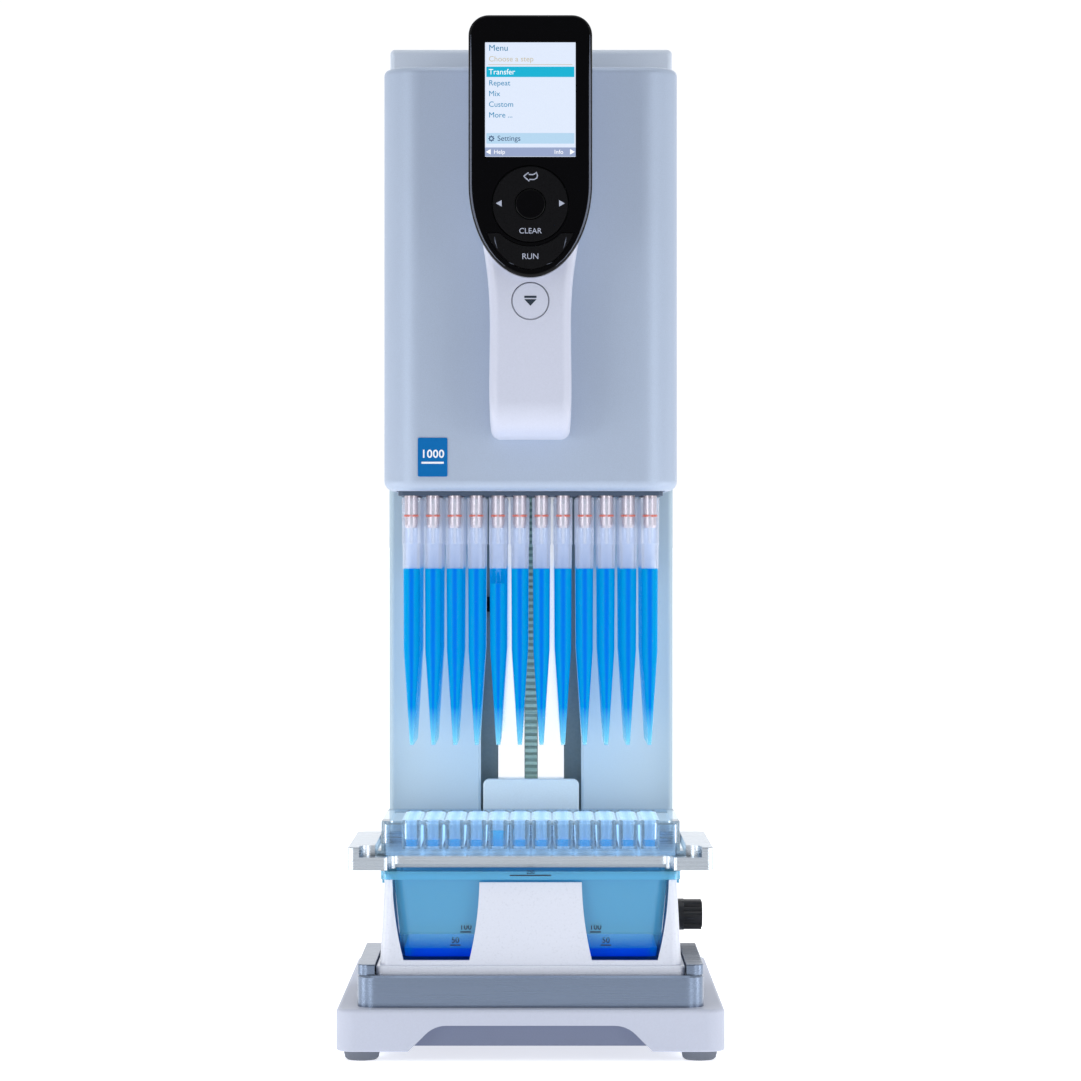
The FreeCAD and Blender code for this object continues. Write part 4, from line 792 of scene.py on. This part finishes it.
# ---- Marks on the handset's keys ----
def wheel_marks():
    """Two side arrows, a return arrow, a word and a ring on the touch wheel."""
    wheel_z = (WHEEL_LOW.z + WHEEL_HIGH.z) / 2
    y, back = WHEEL_LOW.y - PRINT_OUT, WHEEL_LOW.y + PRINT_IN
    arrows = []
    for side in (-1, 1):
        cx = side * 12.6 * MM
        point, tail = cx + side * 1.3 * MM, cx - side * 1.0 * MM
        arrows.append(slab([(point, wheel_z + 0.3 * MM), (tail, wheel_z + 1.6 * MM),
                            (tail, wheel_z - 1.0 * MM)], y, back))
    piece("wheel_side_arrows", *joined(arrows), PRINT_GREY, "wheel", "button_black")
    cz = wheel_z + 11.0 * MM
    outline = [(-2.7, 0.25), (-0.7, 1.75), (-0.6, 0.95), (0.8, 0.85), (1.8, 1.2), (2.4, 1.8),
               (2.9, 0.6), (2.6, -0.5), (1.5, -1.1), (-0.4, -1.05), (-0.4, -1.8), (-2.7, 0.25)]
    turn = strip([(x * MM, cz + z * MM) for x, z in outline], 0.42 * MM, y, back, tapered=False)
    piece("wheel_return_arrow", *turn, PRINT_GREY, "wheel", "button_black")
    lettering("wheel_word", "CLEAR", 3.1 * MM, 0.0, wheel_z - 10.9 * MM, y, PRINT_GREY, "wheel",
              thick=0.04 * MM)
    ring = arc_band(0, wheel_z, 15.05 * MM, 15.2 * MM, 0, 360, y + 0.02 * MM, back, 72)
    piece("wheel_ring", *ring, BLACK_SATIN, "wheel", "button_black")


def key_marks():
    """The run key's word, and the icon and outline of the eject key."""
    run_z = (RUN_LOW.z + RUN_HIGH.z) / 2 - 2.2 * MM
    lettering("run_word", "RUN", 3.3 * MM, 0.0, run_z, RUN_LOW.y - PRINT_OUT, PRINT_GREY, "run",
              thick=0.04 * MM)
    front = EJECT_LOW.y - 0.08 * MM
    back = front + 0.1 * MM
    cz = (EJECT_LOW.z + EJECT_HIGH.z) / 2
    bar = rounded(-2.5 * MM, 2.5 * MM, cz + 1.2 * MM, cz + 2.1 * MM, 0.15 * MM, 2)
    arrow = [(-2.5 * MM, cz + 0.7 * MM), (2.5 * MM, cz + 0.7 * MM), (0.0, cz - 2.0 * MM)]
    piece("eject_icon", *joined([slab(bar, front, back), slab(arrow, front, back)]), PRINT_DARK,
          "eject", "button_light")
    rim = arc_band(0, cz, 7.2 * MM, 7.34 * MM, 0, 360, front + 0.03 * MM, back, 72)
    piece("eject_rim", *rim, GLINT, "eject", "button_light")


wheel_marks()
key_marks()


def fascia_line(inset, z_from, z_to, side, steps=28):
    """Points down one side of the black front, a little way in from its edge."""
    top = FASCIA_HIGH.z
    foot = top - FASCIA_LENGTH + inset
    shoulder = top - FASCIA_STRAIGHT
    half = FASCIA_HALF - inset
    line = []
    for n in range(steps + 1):
        z = z_from + (z_to - z_from) * n / steps
        depth = max(0.0, (shoulder - z) / (shoulder - foot))
        line.append((side * half * math.sqrt(max(0.0, 1 - depth * depth)), z))
    return line


def edge_glints():
    """Painted highlights: bright lines along the rounded edge of the black front and round the lowest
    key.
    """
    front = FASCIA_LOW.y
    top = FASCIA_HIGH.z
    edges = [strip(fascia_line(0.95 * MM, top - 8.0 * MM, top - 101.5 * MM, side), 0.8 * MM, front,
                   front + 0.3 * MM) for side in (-1, 1)]
    piece("fascia_edge_glint", *joined(edges), GLINT, "head", "black_gloss")
    y = RUN_LOW.y - PRINT_OUT
    key = []
    for side in (-1, 1):
        for ends in (((14.5, 336.2), (14.15, 334.2), (13.4, 331.4)),
                     ((11.3, 327.4), (9.2, 325.9), (6.5, 325.0))):
            line = [(side * x * MM, z * MM) for x, z in ends]
            key.append(strip(line, 0.4 * MM, y, y + 0.08 * MM))
    piece("run_key_glint", *joined(key), GLINT, "run", "button_black")


edge_glints()


# ---- Volume label ----
def label_marks():
    """A number with a bar under it."""
    cx = (LABEL_LOW.x + LABEL_HIGH.x) / 2
    cz = (LABEL_LOW.z + LABEL_HIGH.z) / 2
    y = LABEL_LOW.y
    lettering("label_number", "1000", 4.6 * MM, cx, cz + 1.2 * MM, y, PRINT_WHITE, "head",
              thick=0.04 * MM, wide=1.06, bold=0.09 * MM)
    bar = rounded(cx - 4.6 * MM, cx + 4.6 * MM, cz - 2.7 * MM, cz - 1.9 * MM, 0.1 * MM, 2)
    piece("label_bar", *slab(bar, y - 0.04 * MM, y + 0.04 * MM), PRINT_WHITE, "head", "label_blue")


label_marks()


# ---- Studio ----
def floor():
    """A pale floor with a glow of its own, which is weaker towards the camera."""
    material = surface("studio_floor", (244, 245, 248), 0.6, grain=6.0, vary=0.004, cloud=0.004,
                       bump=0.0)
    tree = material.node_tree
    shader = tree.nodes["Principled BSDF"]
    shader.inputs["Emission Color"].default_value = (1, 1, 1, 1)
    glow = ranged(tree, along(tree, "Y"), -1.0, -0.15, 0.08, 0.6, smooth=True)
    tree.links.new(glow, shader.inputs["Emission Strength"])
    reach = 120.0
    corners = [(-reach, -reach, 0), (reach, -reach, 0), (reach, reach, 0), (-reach, reach, 0)]
    mesh = bpy.data.meshes.new("studio_floor")
    mesh.from_pydata(corners, [], [(0, 1, 2, 3)])
    mesh.materials.append(material)
    made = bpy.data.objects.new("studio_floor", mesh)
    bpy.context.scene.collection.objects.link(made)


def surroundings():
    """A white world behind the object, which gets dimmer towards the front."""
    world = bpy.data.worlds.new("studio")
    bpy.context.scene.world = world
    world.use_nodes = True
    tree = world.node_tree
    tree.nodes.clear()
    output = add(tree, "ShaderNodeOutputWorld")
    background = add(tree, "ShaderNodeBackground")
    direction = along(tree, "Y", "Generated")
    front_to_side = ranged(tree, direction, -0.95, -0.2, 0.2, 0.76, smooth=True)
    behind = ranged(tree, direction, 0.45, 0.9, 0.0, 0.28, smooth=True)
    background.inputs["Color"].default_value = linear((252, 253, 255))
    tree.links.new(maths(tree, "ADD", front_to_side, behind), background.inputs["Strength"])
    tree.links.new(background.outputs["Background"], output.inputs["Surface"])


def panel(name, place_at, width, height, power, colour=(1, 1, 1), aim_at=(0, 0, 0.22)):
    """A rectangular soft light."""
    light = bpy.data.lights.new(name, "AREA")
    light.shape = "RECTANGLE"
    light.size = width
    light.size_y = height
    light.energy = power
    light.color = colour
    holder = bpy.data.objects.new(name, light)
    bpy.context.scene.collection.objects.link(holder)
    holder.location = place_at
    aim = Vector(aim_at) - Vector(place_at)
    holder.rotation_euler = aim.to_track_quat("-Z", "Y").to_euler()
    return holder


def lights():
    """Soft lights round the object, two strips for its metal corners, and one that lights the tower."""
    cool, cooler = (0.97, 0.985, 1.0), (0.95, 0.98, 1.0)
    panel("soft_left", (-1.3, -1.6, 0.6), 0.9, 1.6, 3.5, cool)
    panel("soft_right", (1.4, -1.55, 0.6), 0.9, 1.6, 3.05, cool)
    panel("soft_top", (0.0, -0.5, 2.2), 1.6, 1.2, 4.5)
    panel("soft_back", (0.0, 1.9, 1.3), 2.0, 1.2, 5.0)
    panel("low_left", (-0.75, -0.95, 0.16), 0.4, 0.3, 1.2, cooler)
    panel("low_right", (0.8, -0.95, 0.16), 0.4, 0.3, 1.1, cooler)
    column = panel("column_light", (0.0, -0.004, 0.146), 0.116, 0.108, 0.0155, (1.0, 1.0, 1.0),
                   (0.0, 0.1, 0.146))
    column.visible_camera = False
    column.visible_glossy = False
    for side in (-1, 1):
        panel(f"edge_strip_{side + 1}", (side * 0.5, -0.12, 0.06), 0.16, 0.1, 0.22,
              aim_at=(0, -0.12, 0.06))


def camera():
    """A level camera, far in front, a little above the middle of the object."""
    distance = 1.7645
    front_row_y = ARRAY_Y - 3.5 * PITCH
    data = bpy.data.cameras.new("camera")
    data.lens = 141.6
    data.sensor_width = 36.0
    holder = bpy.data.objects.new("camera", data)
    bpy.context.scene.collection.objects.link(holder)
    holder.location = (0.0041, front_row_y - distance, 0.2136)
    holder.rotation_euler = (math.pi / 2, 0, 0)
    bpy.context.scene.camera = holder


floor()
surroundings()
lights()
camera()
bpy.context.scene.view_settings.view_transform = "Standard"
